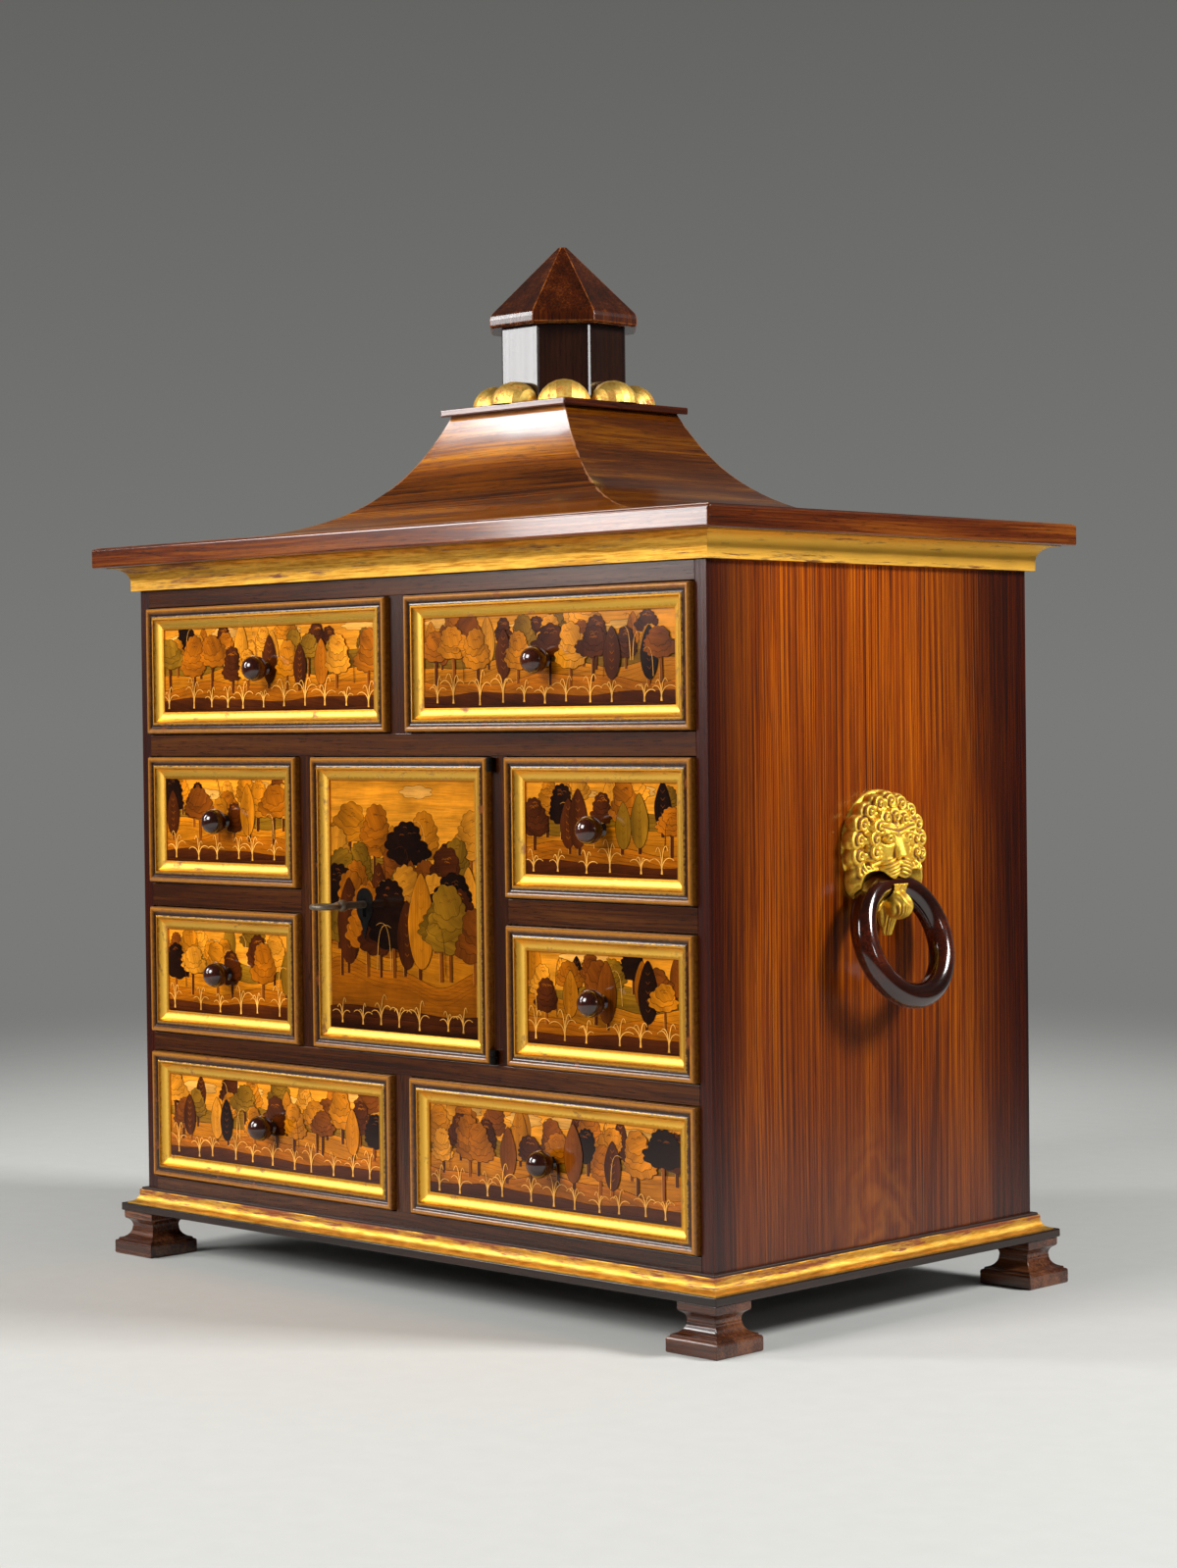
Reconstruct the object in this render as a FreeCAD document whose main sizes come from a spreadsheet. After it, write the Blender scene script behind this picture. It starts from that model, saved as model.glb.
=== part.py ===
import FreeCAD, Part

import math
import os
import re

import Sketcher
from FreeCAD import Placement, Rotation, Vector

# Driving dimensions in millimetres, and the swing of the handles in degrees
SIZES = {
    # Carcase
    "case_width": 500,
    "case_depth": 285,
    "case_height": 414,
    "side_thick": 9.25,
    "top_thick": 15,
    "bottom_thick": 18.25,
    "back_thick": 8,
    "divider_thick": 15.5,
    "post_thick": 13,
    "shelf_lower_thick": 11.5,
    "stack_thick": 14.5,
    "shelf_upper_thick": 13.5,
    "rail_height": 11.25,
    "rail_depth": 22,
    # Feet, plinth and the gilt mouldings of the carcase
    "foot_height": 28,
    "foot_width": 38,
    "foot_overhang": 16,
    "plinth_thick": 5,
    "plinth_overhang": 12.8,
    "base_overhang": 9.8,
    "base_height": 10,
    "cornice_overhang": 15.5,
    "cornice_height": 15,
    # Roof
    "slab_thick": 12.5,
    "slab_overhang": 22.5,
    "slab_edge": 1.5,
    "roof_height": 76.35,
    "roof_top_width": 100,
    "roof_inset": 2,
    "cap_width": 110,
    "cap_thick": 4.3,
    "thin_edge": 0.8,
    "lantern_width": 76.7,
    "lantern_height": 48.5,
    "eave_width": 91.5,
    "eave_height": 7.5,
    "eave_bevel": 1.4,
    "spire_height": 45,
    "spire_tip_width": 5,
    "bead_half_length": 17,
    "bead_height": 14.4,
    "bead_set_out": 4.6,
    # Inlaid fronts and their frames
    "side_front_width": 147,
    "front_gap": 0.75,
    "front_recess": 1,
    "front_thick": 12,
    "frame_width": 14,
    "frame_rise": 5.4,
    # Drawer boxes
    "drawer_side_thick": 7,
    "drawer_back_thick": 6,
    "drawer_floor_thick": 4,
    "drawer_floor_lift": 3,
    "drawer_side_drop": 9,
    "drawer_run_gap": 0.3,
    "drawer_end_gap": 5,
    # Knobs
    "knob_radius": 8,
    "knob_stand": 9.6,
    "knob_neck_radius": 3.2,
    "knob_foot_radius": 4.8,
    "knob_foot_height": 2.5,
    # Door and its pin hinges
    "door_thick": 15,
    "door_edge_inset": 1.6,
    "hinge_side": 2.6,
    "hinge_out": 2.6,
    "knuckle_radius": 2.3,
    "knuckle_height": 4,
    "knuckle_gap": 0.3,
    "pin_radius": 1.1,
    "pin_gap": 0.08,
    "stem_length": 9,
    "stem_thick": 1.4,
    "stem_height": 2.6,
    # Lock, bolt and key
    "key_inset": 45.5,
    "key_reach": 40.9,
    "shank_radius": 2.2,
    "collar_radius": 3.6,
    "bow_radius": 8,
    "bow_wire": 1.7,
    "bit_reach": 7,
    "bit_width": 3.6,
    "bit_thick": 2,
    "keyhole_gap": 0.6,
    "bolt_throw": 7,
    "bolt_height": 9,
    "bolt_thick": 4,
    "bolt_lift": 4,
    "bolt_gap": 0.3,
    "bolt_tail": 13,
    "mortise_end_gap": 1.5,
    "lock_height": 36,
    "lock_depth": 10,
    "lock_wall": 1.5,
    "lock_reach": 16,
    "escutcheon_width": 14,
    "escutcheon_height": 31,
    "escutcheon_thick": 1.4,
    "escutcheon_drop": 21,
    # Ring handles and lion masks
    "ring_radius": 33,
    "ring_wire": 7.5,
    "ring_tilt_angle": 17.5,
    "ring_swing_angle": 75,
    "ring_gap": 0.4,
    "hinge_height": 249.3,
    "hinge_depth": 8.3,
    "mask_width": 70,
    "mask_height": 85.6,
    "mask_depth": 20,
    "mask_drop": 32,
    # Overrun of every cut past the face that it breaks
    "overrun": 2,
}

# Places and sizes that follow from the driving dimensions
PLACES = {
    "half_width": "case_width / 2",
    "centre_y": "(key_reach - slab_overhang) / 2",
    "front_y": "centre_y - case_depth / 2",
    "back_y": "centre_y + case_depth / 2",
    "inner_back_y": "back_y - back_thick",
    "case_bottom": "foot_height + plinth_thick",
    "case_top": "case_bottom + case_height",
    "top_board_z": "case_top - top_thick",
    "slab_top": "case_top + slab_thick",
    "roof_top": "slab_top + roof_height",
    "cap_top": "roof_top + cap_thick",
    "eave_z": "cap_top + lantern_height",
    # Openings between the boards, from the bottom row up
    "row_boards": "shelf_lower_thick + stack_thick + shelf_upper_thick + rail_height",
    "opening_height": "(case_height - bottom_thick - top_thick - row_boards) / 4",
    "front_height": "opening_height - 2 * front_gap",
    "bottom_row_z": "case_bottom + bottom_thick",
    "shelf_lower_z": "bottom_row_z + opening_height",
    "lower_row_z": "shelf_lower_z + shelf_lower_thick",
    "stack_z": "lower_row_z + opening_height",
    "upper_row_z": "stack_z + stack_thick",
    "shelf_upper_z": "upper_row_z + opening_height",
    "top_row_z": "shelf_upper_z + shelf_upper_thick",
    "top_rail_z": "top_row_z + opening_height",
    # Openings across, from the middle to the right
    "inner_x": "half_width - side_thick",
    "half_divider": "divider_thick / 2",
    "post_outer": "inner_x - side_front_width - 2 * front_gap",
    "post_inner": "post_outer - post_thick",
    "wide_centre": "(half_divider + inner_x) / 2",
    "side_centre": "(post_outer + inner_x) / 2",
    "wide_front_width": "inner_x - half_divider - 2 * front_gap",
    "door_width": "2 * post_inner - 2 * front_gap",
    "door_height": "shelf_upper_z - lower_row_z - 2 * front_gap",
    # Planes of the fronts
    "panel_y": "front_y + front_recess",
    "front_back_y": "panel_y + front_thick",
    "door_back_y": "panel_y + door_thick",
    "drawer_back_y": "inner_back_y - drawer_end_gap",
    # Door and lock
    "door_edge_x": "post_inner - front_gap",
    "door_low_z": "lower_row_z + front_gap",
    "door_high_z": "shelf_upper_z - front_gap",
    "board_left_x": "-door_edge_x + door_edge_inset",
    "hinge_x": "door_edge_x + hinge_side",
    "hinge_y": "front_y - hinge_out",
    "key_x": "-door_edge_x + key_inset",
    "key_z": "stack_z + stack_thick / 2",
    "lock_front_y": "door_back_y - lock_depth",
    "lock_cover_y": "door_back_y - lock_wall",
    "bolt_y": "(lock_front_y + door_back_y) / 2",
    "bolt_low_z": "key_z + bolt_lift",
    "bolt_high_z": "bolt_low_z + bolt_height",
    "bow_y": "front_y - key_reach + bow_radius + bow_wire",
    "mortise_depth": "bolt_throw - door_edge_inset - front_gap + mortise_end_gap",
}

# Outlines in shares of the width and height that they fill: a pair is a corner, four numbers
# are a round stretch by way of the first two. Across counts inwards from a moulding's outer edge.
FRAME_SHARES = [
    (0, 0), (0, 0.62), (0.09, 0.98, 0.24, 0.86), (0.34, 0.70, 0.46, 0.86), (0.53, 0.86),
    (0.54, 0.72), (0.70, 0.36, 0.93, 0.22), (1, 0.20), (1, 0),
]
CORNICE_SHARES = [
    (1, 0), (0.72, 0), (0.715, 0.33), (0.516, 0.83, 0.03, 0.98), (0, 0.98), (0, 1), (1, 1),
]
BASE_SHARES = [
    (1, 0), (0, 0), (0, 0.05), (0.38, 0.19, 0.57, 0.56), (0.57, 0.80), (0.61, 0.86, 0.68, 0.87),
    (0.68, 0.95), (0.71, 0.985, 0.76, 1), (1, 1),
]
FOOT_HALF_SHARES = [
    (0, 0), (0.97, 0), (1, 0.02), (1, 0.28), (0.97, 0.31), (0.91, 0.32), (0.90, 0.36),
    (0.65, 0.45, 0.57, 0.60), (0.59, 0.73, 0.70, 0.80), (0.74, 0.82), (0.76, 0.85), (0.76, 1), (0, 1),
]
ESCUTCHEON_SHARES = [
    (1, 0.70), (0, 1, -1, 0.70), (-0.96, 0.50, -0.55, 0.36), (-0.28, 0.20, 0, 0),
    (0.28, 0.20, 0.55, 0.36), (0.96, 0.50, 1, 0.70),
]
# How fast the roof falls from its top: its height runs as exp(-fall) over its run
ROOF_FALL = 5.1
ROOF_POINTS = 9
# The lion mask's balls: middle out from the panel, across and up in shares of the mask's depth, half
# width and height, and the radius in shares of its half width. A form off the middle line has a twin.
BALL_SHARES = [
    (-1.30, 0.00, 0.625, 1.20), (-0.30, 0.00, 0.635, 0.68), (0.72, 0.25, 0.69, 0.11),
    (0.62, 0.16, 0.485, 0.215), (0.14, 0.54, 0.41, 0.34), (0.26, 0.42, 0.26, 0.24),
    (0.78, 0.00, 0.235, 0.24),
]
# Its bars, each a cone from one end to the other: both middles as above, then both radii
BAR_SHARES = [
    (0.66, 0.06, 0.715, 0.50, 0.52, 0.755, 0.11, 0.12), (0.62, 0.00, 0.735, 0.80, 0.00, 0.55, 0.10, 0.15),
    (0.34, 0.00, 0.38, 0.34, 0.00, 0.03, 0.36, 0.07),
]
# Rows of curls round the mane: middle out, reach across and up, radius, count and first angle
CURL_SHARES = [(0.28, 0.80, 0.300, 0.19), (0.52, 0.53, 0.205, 0.16)]
CURL_COUNTS = (13, 9)
CURL_START_ANGLES = (-32, -12)
LANTERN_SIDES = 8
# Flat bands along a gilt bead's outline
BEAD_BANDS = 10

X, Y, Z = Vector(1, 0, 0), Vector(0, 1, 0), Vector(0, 0, 1)

doc = FreeCAD.newDocument("table_cabinet")


def make_sheet(label, cells):
    """A spreadsheet with one named cell to a row."""
    sheet = doc.addObject("Spreadsheet::Sheet", label)
    for row, (alias, content) in enumerate(cells.items(), 1):
        sheet.set(f"A{row}", alias)
        sheet.set(f"B{row}", content)
        sheet.setAlias(f"B{row}", alias)
    return sheet


def formula(text):
    """The text with each named size led by its sheet, as an expression needs it."""
    def full_name(match):
        word = match.group()
        if word in SIZES:
            return "Sizes." + word
        return "Places." + word if word in PLACES else word
    return re.sub(r"[a-z][a-z_]*", full_name, text)


sizes_sheet = make_sheet("Sizes", {alias: str(value) for alias, value in SIZES.items()})
doc.recompute()
places_sheet = make_sheet("Places", {alias: "=" + formula(text) for alias, text in PLACES.items()})
doc.recompute()


def size(alias):
    """A named size or place as a number."""
    sheet = sizes_sheet if alias in SIZES else places_sheet
    return float(sheet.get(alias))


def bind(item, **texts):
    """Bind properties of an object to formulas of the named sizes."""
    for name, text in texts.items():
        item.setExpression(name, formula(text))


def seat(item, x, y, z, rotation=None):
    """Place an object by formulas, turned first where a rotation is given."""
    if rotation:
        item.Placement = Placement(Vector(), rotation)
    for axis, text in zip("xyz", (x, y, z)):
        item.setExpression("Placement.Base." + axis, formula(text))
    return item


def board(name, x, y, z):
    """A rectangular board from its low to its high face along each axis."""
    box = doc.addObject("Part::Box", name)
    for side, (low, high) in zip(("Length", "Width", "Height"), (x, y, z)):
        box.setExpression(side, formula(f"({high}) - ({low})"))
    return seat(box, x[0], y[0], z[0])


def cylinder(name, radius, height, x, y, z, rotation=None):
    """A round bar along +Z, or along the turned axis."""
    bar = doc.addObject("Part::Cylinder", name)
    bind(bar, Radius=radius, Height=height)
    return seat(bar, x, y, z, rotation)


def group(name, items):
    """Separate solids kept together under one name."""
    compound = doc.addObject("Part::Compound", name)
    compound.Links = items
    return compound


def fused(name, items):
    """One solid from several that run into each other."""
    fusion = doc.addObject("Part::MultiFuse", name)
    fusion.Shapes = items
    return fusion


def cut(name, base, tools):
    """The base with the tools' room taken out of it."""
    result = doc.addObject("Part::Cut", name)
    result.Base = base
    result.Tool = tools[0] if len(tools) == 1 else group(name + "_tools", tools)
    return result


def solid_piece(name, shape):
    """A sub-part whose form is worked out from the named sizes below."""
    piece = doc.addObject("Part::Feature", name)
    piece.Shape = shape
    return piece


def outline_face(shares, point):
    """The face inside an outline of shares, which point turns into places."""
    corners = [point(*step[-2:]) for step in shares]
    edges = []
    for step, start, end in zip(shares, corners[-1:] + corners[:-1], corners):
        if start.isEqual(end, 1e-9):
            continue
        if len(step) > 2:
            edges.append(Part.Arc(start, point(*step[:2]), end).toShape())
        else:
            edges.append(Part.LineSegment(start, end).toShape())
    return Part.Face(Part.Wire(edges))


def mirrored(half):
    """A half outline from the bottom to the top of its middle line, and its reflection."""
    other = []
    for step, before in zip(half[:0:-1], half[-2::-1]):
        way = step[:-2] + before[-2:]
        other.append(tuple(-value if k % 2 == 0 else value for k, value in enumerate(way)))
    return half + other


def mitred_length(shares, across, rise, length, offset):
    """One length of moulding along +X, its outer edge offset before the middle, mitred at both ends."""
    start = -length / 2
    profile = outline_face(shares, lambda u, v: Vector(start, u * across - offset, v * rise))
    plan = [
        Vector(start, -offset, 0),
        Vector(-start, -offset, 0),
        Vector(-start - across, across - offset, 0),
        Vector(start + across, across - offset, 0),
    ]
    mitres = Part.Face(Part.makePolygon(plan + plan[:1])).extrude(Z * rise)
    return profile.extrude(X * length).common(mitres)


def mitred_frame(shares, across, rise, width, depth):
    """Four mitred lengths round a rectangle in the XY plane, rising along +Z."""
    lengths = []
    for quarter in range(4):
        length, span = (width, depth) if quarter % 2 == 0 else (depth, width)
        piece = mitred_length(shares, across, rise, length, span / 2)
        piece.rotate(Vector(), Z, 90 * quarter)
        lengths.append(piece)
    return Part.makeCompound(lengths)


def slab(name, width, depth, thick, edge, z):
    """A flat slab with all its edges eased, in the middle of the carcase."""
    body = doc.addObject("PartDesign::Body", name)
    sketch = body.newObject("Sketcher::SketchObject", name + "_outline")
    plane = next(item for item in body.Origin.OriginFeatures if item.Role == "XY_Plane")
    sketch.AttachmentSupport = [(plane, "")]
    sketch.MapMode = "FlatFace"
    half = Vector(size("half_width"), size("half_width"), 0)
    corners = [Vector(-half.x, -half.y, 0), Vector(half.x, -half.y, 0), half, Vector(-half.x, half.y, 0)]
    for start, end in zip(corners, corners[1:] + corners[:1]):
        sketch.addGeometry(Part.LineSegment(start, end))
    for side in range(4):
        sketch.addConstraint(Sketcher.Constraint("Coincident", side, 2, (side + 1) % 4, 1))
        sketch.addConstraint(Sketcher.Constraint("Horizontal" if side % 2 == 0 else "Vertical", side))
    sketch.addConstraint(Sketcher.Constraint("Symmetric", 0, 1, 1, 2, -1, 1))
    for side, label, text in ((0, "width", width), (1, "depth", depth)):
        kind = "DistanceX" if side == 0 else "DistanceY"
        index = sketch.addConstraint(Sketcher.Constraint(kind, side, 1, side, 2, size("case_width")))
        sketch.renameConstraint(index, label)
        sketch.setExpression("Constraints." + label, formula(text))
    pad = body.newObject("PartDesign::Pad", name + "_pad")
    pad.Profile = sketch
    bind(pad, Length=thick)
    doc.recompute()
    easing = body.newObject("PartDesign::Fillet", name + "_easing")
    easing.Base = (pad, [])
    easing.UseAllEdges = True
    bind(easing, Radius=edge)
    return seat(body, "0", "centre_y", z)


def carcase():
    """Side panels, boards, rails, posts and back, butted face to face."""
    inner = ("-inner_x", "inner_x")
    depth = ("front_y", "inner_back_y")
    full_height = ("case_bottom", "case_top")
    middle = ("lower_row_z", "shelf_upper_z")
    pieces = [
        board("side_panel_left", ("-half_width", "-inner_x"), ("front_y", "back_y"), full_height),
        board("side_panel_right", ("inner_x", "half_width"), ("front_y", "back_y"), full_height),
        board("bottom_board", inner, depth, ("case_bottom", "bottom_row_z")),
        board("top_board", inner, depth, ("top_board_z", "case_top")),
        board("top_rail", inner, ("front_y", "front_y + rail_depth"), ("top_rail_z", "top_board_z")),
        board("back_panel", inner, ("inner_back_y", "back_y"), full_height),
        board("shelf_lower", inner, depth, ("shelf_lower_z", "lower_row_z")),
        board("shelf_upper", inner, depth, ("shelf_upper_z", "top_row_z")),
        board("divider_bottom", ("-half_divider", "half_divider"), depth, ("bottom_row_z", "shelf_lower_z")),
        board("divider_top", ("-half_divider", "half_divider"), depth, ("top_row_z", "top_rail_z")),
        board("stack_shelf_left", ("-inner_x", "-post_outer"), depth, ("stack_z", "upper_row_z")),
        board("stack_shelf_right", ("post_outer", "inner_x"), depth, ("stack_z", "upper_row_z")),
    ]
    # The left post takes the bolt, the right one the stems of the hinge eyes
    left = board("left_post_blank", ("-post_outer", "-post_inner"), depth, middle)
    mortise = board(
        "bolt_mortise",
        ("-post_inner - mortise_depth", "-post_inner + overrun"),
        ("bolt_y - bolt_thick / 2 - bolt_gap", "bolt_y + bolt_thick / 2 + bolt_gap"),
        ("bolt_low_z - bolt_gap", "bolt_high_z + bolt_gap"),
    )
    pieces.append(cut("door_post_left", left, [mortise]))
    right = board("right_post_blank", ("post_inner", "post_outer"), depth, middle)
    stems = [eye_stem(f"eye_stem_room_{end}", end) for end in ("low", "high")]
    pieces.append(cut("door_post_right", right, stems))
    return pieces


def feet():
    """Four square feet, each the common part of one moulded outline run both ways."""
    half, height = size("foot_width") / 2, size("foot_height")
    shares = mirrored(FOOT_HALF_SHARES)
    across = outline_face(shares, lambda u, v: Vector(u * half, -half, v * height))
    along = outline_face(shares, lambda u, v: Vector(-half, u * half, v * height))
    foot = across.extrude(Y * 2 * half).common(along.extrude(X * 2 * half)).removeSplitter()
    reach_x = size("half_width") + size("foot_overhang") - half
    reach_y = size("case_depth") / 2 + size("foot_overhang") - half
    copies = [foot.translated(Vector(i * reach_x, j * reach_y, 0)) for i in (-1, 1) for j in (-1, 1)]
    return seat(solid_piece("feet", Part.makeCompound(copies)), "0", "centre_y", "0")


def case_moulding(name, shares, overhang, height, z):
    """A gilt moulding of four mitred lengths round the carcase."""
    out, rise = size(overhang), size(height)
    width = size("case_width") + 2 * out
    depth = size("case_depth") + 2 * out
    frame = mitred_frame(shares, out, rise, width, depth)
    return seat(solid_piece(name, frame), "0", "centre_y", z)


def roof():
    """The hipped roof: one concave outline run across and one along, so the hips run straight in plan."""
    top_half, height = size("roof_top_width") / 2, size("roof_height")
    foot_x = size("half_width") + size("slab_overhang") - size("roof_inset")
    foot_y = size("case_depth") / 2 + size("slab_overhang") - size("roof_inset")

    def outline(foot_half, point):
        """The face under the two concave slopes, which point turns into places."""
        slope = []
        for k in range(ROOF_POINTS + 1):
            run = (k / ROOF_POINTS) ** 1.5
            slope.append((top_half + run * (foot_half - top_half), height * math.exp(-ROOF_FALL * run)))
        right = Part.BSplineCurve()
        right.interpolate([point(*place) for place in slope])
        left = Part.BSplineCurve()
        left.interpolate([point(-across, up) for across, up in slope])
        foot_right, foot_left = point(foot_half, 0), point(-foot_half, 0)
        edges = [
            Part.LineSegment(point(-top_half, height), point(top_half, height)).toShape(),
            right.toShape(),
            Part.LineSegment(point(*slope[-1]), foot_right).toShape(),
            Part.LineSegment(foot_right, foot_left).toShape(),
            Part.LineSegment(foot_left, point(-foot_half, slope[-1][1])).toShape(),
            left.toShape(),
        ]
        return Part.Face(Part.Wire(Part.__sortEdges__(edges)))

    across = outline(foot_x, lambda u, v: Vector(u, -foot_y, v)).extrude(Y * 2 * foot_y)
    along = outline(foot_y, lambda u, v: Vector(-foot_x, u, v)).extrude(X * 2 * foot_x)
    return seat(solid_piece("roof", across.common(along)), "0", "centre_y", "slab_top")


def eight_sided(name, outline, z):
    """An upright solid with eight flat sides: the common part of one outline run along four directions."""
    reach = size("eave_width")
    whole = None
    for quarter in range(4):
        face = Part.Face(Part.makePolygon([Vector(across, -reach, up) for across, up in outline + outline[:1]]))
        run = face.extrude(Y * 2 * reach)
        run.rotate(Vector(), Z, quarter * 180 / 4)
        whole = whole.common(run) if whole else run
    return seat(solid_piece(name, whole), "0", "centre_y", z)


def lantern():
    """The lantern's shaft and its pointed roof with a bevelled eave."""
    half, eave, bevel = size("lantern_width") / 2, size("eave_width") / 2, size("eave_bevel")
    tip, eave_top = size("spire_tip_width") / 2, size("eave_height")
    shaft = [(half, 0), (half, size("lantern_height"))]
    spire = [(eave - bevel, 0), (eave, bevel), (eave, eave_top), (tip, eave_top + size("spire_height"))]
    pieces = []
    for name, side, z in (("lantern", shaft, "cap_top"), ("lantern_roof", spire, "eave_z")):
        other = [(-across, up) for across, up in reversed(side)]
        pieces.append(eight_sided(name, side + other, z))
    return pieces


def gilt_beads():
    """Eight half eggs on the cap, each turned about its long axis, against one face of the lantern."""
    face = size("lantern_width") / 2
    middle = X * (face + size("bead_set_out"))
    half, height = Y * size("bead_half_length"), size("bead_height")
    outline = Part.Arc(middle - half, middle + Z * height, middle + half).discretize(BEAD_BANDS + 1)
    egg = Part.Face(Part.makePolygon(outline + outline[:1])).revolve(middle, Y, 360)
    # Each egg keeps to its own eighth of the ring, outside the lantern and above the cap
    reach = middle.x + height
    slope = math.tan(math.pi / LANTERN_SIDES)
    plan = [
        Vector(face, -face * slope, 0), Vector(reach, -reach * slope, 0),
        Vector(reach, reach * slope, 0), Vector(face, face * slope, 0),
    ]
    sector = Part.Face(Part.makePolygon(plan + plan[:1])).extrude(Z * height)
    bead = egg.common(sector)
    beads = []
    for k in range(LANTERN_SIDES):
        copy = bead.copy()
        copy.rotate(Vector(), Z, 360 * k / LANTERN_SIDES)
        beads.append(copy)
    return seat(solid_piece("gilt_beads", Part.makeCompound(beads)), "0", "centre_y", "cap_top")


def front_frame(name, width, height, x, z):
    """The mitred gilt frame on an inlaid front, rising towards the viewer."""
    frame = mitred_frame(FRAME_SHARES, size("frame_width"), size("frame_rise"), size(width), size(height))
    return seat(solid_piece(name, frame), x, "panel_y", z, Rotation(X, 90))


def knob(name, x, z):
    """A turned ball on a short flared neck, standing out of the front."""
    outward = Rotation(X, 90)
    ball = doc.addObject("Part::Sphere", name + "_ball")
    bind(ball, Radius="knob_radius")
    seat(ball, x, "panel_y - knob_stand", z)
    neck = cylinder(name + "_neck", "knob_neck_radius", "knob_stand", x, "panel_y", z, outward)
    foot = doc.addObject("Part::Cone", name + "_foot")
    bind(foot, Radius1="knob_foot_radius", Radius2="knob_neck_radius", Height="knob_foot_height")
    seat(foot, x, "panel_y", z, outward)
    return fused(name, [ball, neck, foot])


def drawer(name, x, z, width):
    """One drawer: its box of five boards, the frame on its front and its knob."""
    left, right = f"{x} - {width} / 2", f"{x} + {width} / 2"
    inner = (f"{left} + drawer_side_thick", f"{right} - drawer_side_thick")
    low = f"{z} + drawer_run_gap"
    high = f"{z} + front_gap + front_height - drawer_side_drop"
    depth = ("front_back_y", "drawer_back_y")
    front_z = (f"{z} + front_gap", f"{z} + front_gap + front_height")
    floor_z = (f"{low} + drawer_floor_lift", f"{low} + drawer_floor_lift + drawer_floor_thick")
    behind_floor = ("drawer_back_y - drawer_back_thick", "drawer_back_y")
    box = group(f"drawer_{name}_box", [
        board(f"{name}_front_board", (left, right), ("panel_y", "front_back_y"), front_z),
        board(f"{name}_side_left", (left, inner[0]), depth, (low, high)),
        board(f"{name}_side_right", (inner[1], right), depth, (low, high)),
        board(f"{name}_back", inner, behind_floor, (floor_z[1], high)),
        board(f"{name}_floor", inner, depth, floor_z),
    ])
    middle = f"{z} + front_gap + front_height / 2"
    frame = front_frame(f"drawer_{name}_frame", width, "front_height", x, middle)
    return [box, frame, knob(f"drawer_{name}_knob", x, middle)]


def eye_stem(name, end):
    """The stem that holds a hinge eye in the right post, at the low or high end of the door."""
    middle = eye_middle(end)
    return board(
        name,
        ("hinge_x - stem_thick / 2", "hinge_x + stem_thick / 2"),
        ("hinge_y + pin_radius + pin_gap", "front_y + stem_length"),
        (f"{middle} - stem_height / 2", f"{middle} + stem_height / 2"),
    )


def eye_middle(end):
    """Height of the middle of a hinge eye: the eye is the outer one of a hinge's two knuckles."""
    if end == "low":
        return "door_low_z + knuckle_height / 2"
    return "door_high_z - knuckle_height / 2"


def knuckle_middle(end):
    """Height of the middle of the door's knuckle, beside the eye on the door's side."""
    if end == "low":
        return "door_low_z + knuckle_height * 3 / 2 + knuckle_gap"
    return "door_high_z - knuckle_height * 3 / 2 - knuckle_gap"


def hinge_eyes():
    """Two eyes on the carcase, each bored for the pin and held by its stem."""
    eyes = []
    for end in ("low", "high"):
        middle = eye_middle(end)
        base = f"{middle} - knuckle_height / 2"
        barrel = cylinder(f"eye_barrel_{end}", "knuckle_radius", "knuckle_height", "hinge_x", "hinge_y", base)
        joined = fused(f"eye_joined_{end}", [barrel, eye_stem(f"eye_stem_{end}", end)])
        bore = cylinder(
            f"eye_bore_{end}", "pin_radius + pin_gap", "knuckle_height + 2 * overrun",
            "hinge_x", "hinge_y", f"{base} - overrun",
        )
        eyes.append(cut(f"hinge_eye_{end}", joined, [bore]))
    return group("hinge_eyes", eyes)


def knuckle_stem(name, end):
    """The stem that holds the door's knuckle in the frame's right length."""
    middle = knuckle_middle(end)
    return board(
        name,
        ("door_edge_x - frame_width / 2", "hinge_x"),
        ("front_y - stem_thick", "front_y"),
        (f"{middle} - stem_height / 2", f"{middle} + stem_height / 2"),
    )


def hinge_pins():
    """Two pins on the door, each with its knuckle and stem, turning in the eyes."""
    pins = []
    for end in ("low", "high"):
        middle = knuckle_middle(end)
        base = f"{middle} - knuckle_height / 2"
        barrel = cylinder(f"pin_barrel_{end}", "knuckle_radius", "knuckle_height", "hinge_x", "hinge_y", base)
        # The pin runs from the knuckle through the eye, and ends flush with it
        start = "door_low_z" if end == "low" else base
        pin = cylinder(
            f"pin_bar_{end}", "pin_radius", "2 * knuckle_height + knuckle_gap", "hinge_x", "hinge_y", start,
        )
        pins.append(fused(f"hinge_pin_{end}", [barrel, pin, knuckle_stem(f"pin_stem_{end}", end)]))
    return group("hinge_pins", pins)


def keyhole(name, start, end):
    """The room of a keyhole between two planes: a round hole with a slot below for the bit."""
    inward = Rotation(X, -90)
    hole = cylinder(
        name + "_round", "shank_radius + keyhole_gap", f"({end}) - ({start})", "key_x", start, "key_z", inward,
    )
    slot = board(
        name + "_slot",
        ("key_x - bit_thick / 2 - keyhole_gap", "key_x + bit_thick / 2 + keyhole_gap"),
        (start, end),
        ("key_z - bit_reach - keyhole_gap", "key_z"),
    )
    return fused(name, [hole, slot])


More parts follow.
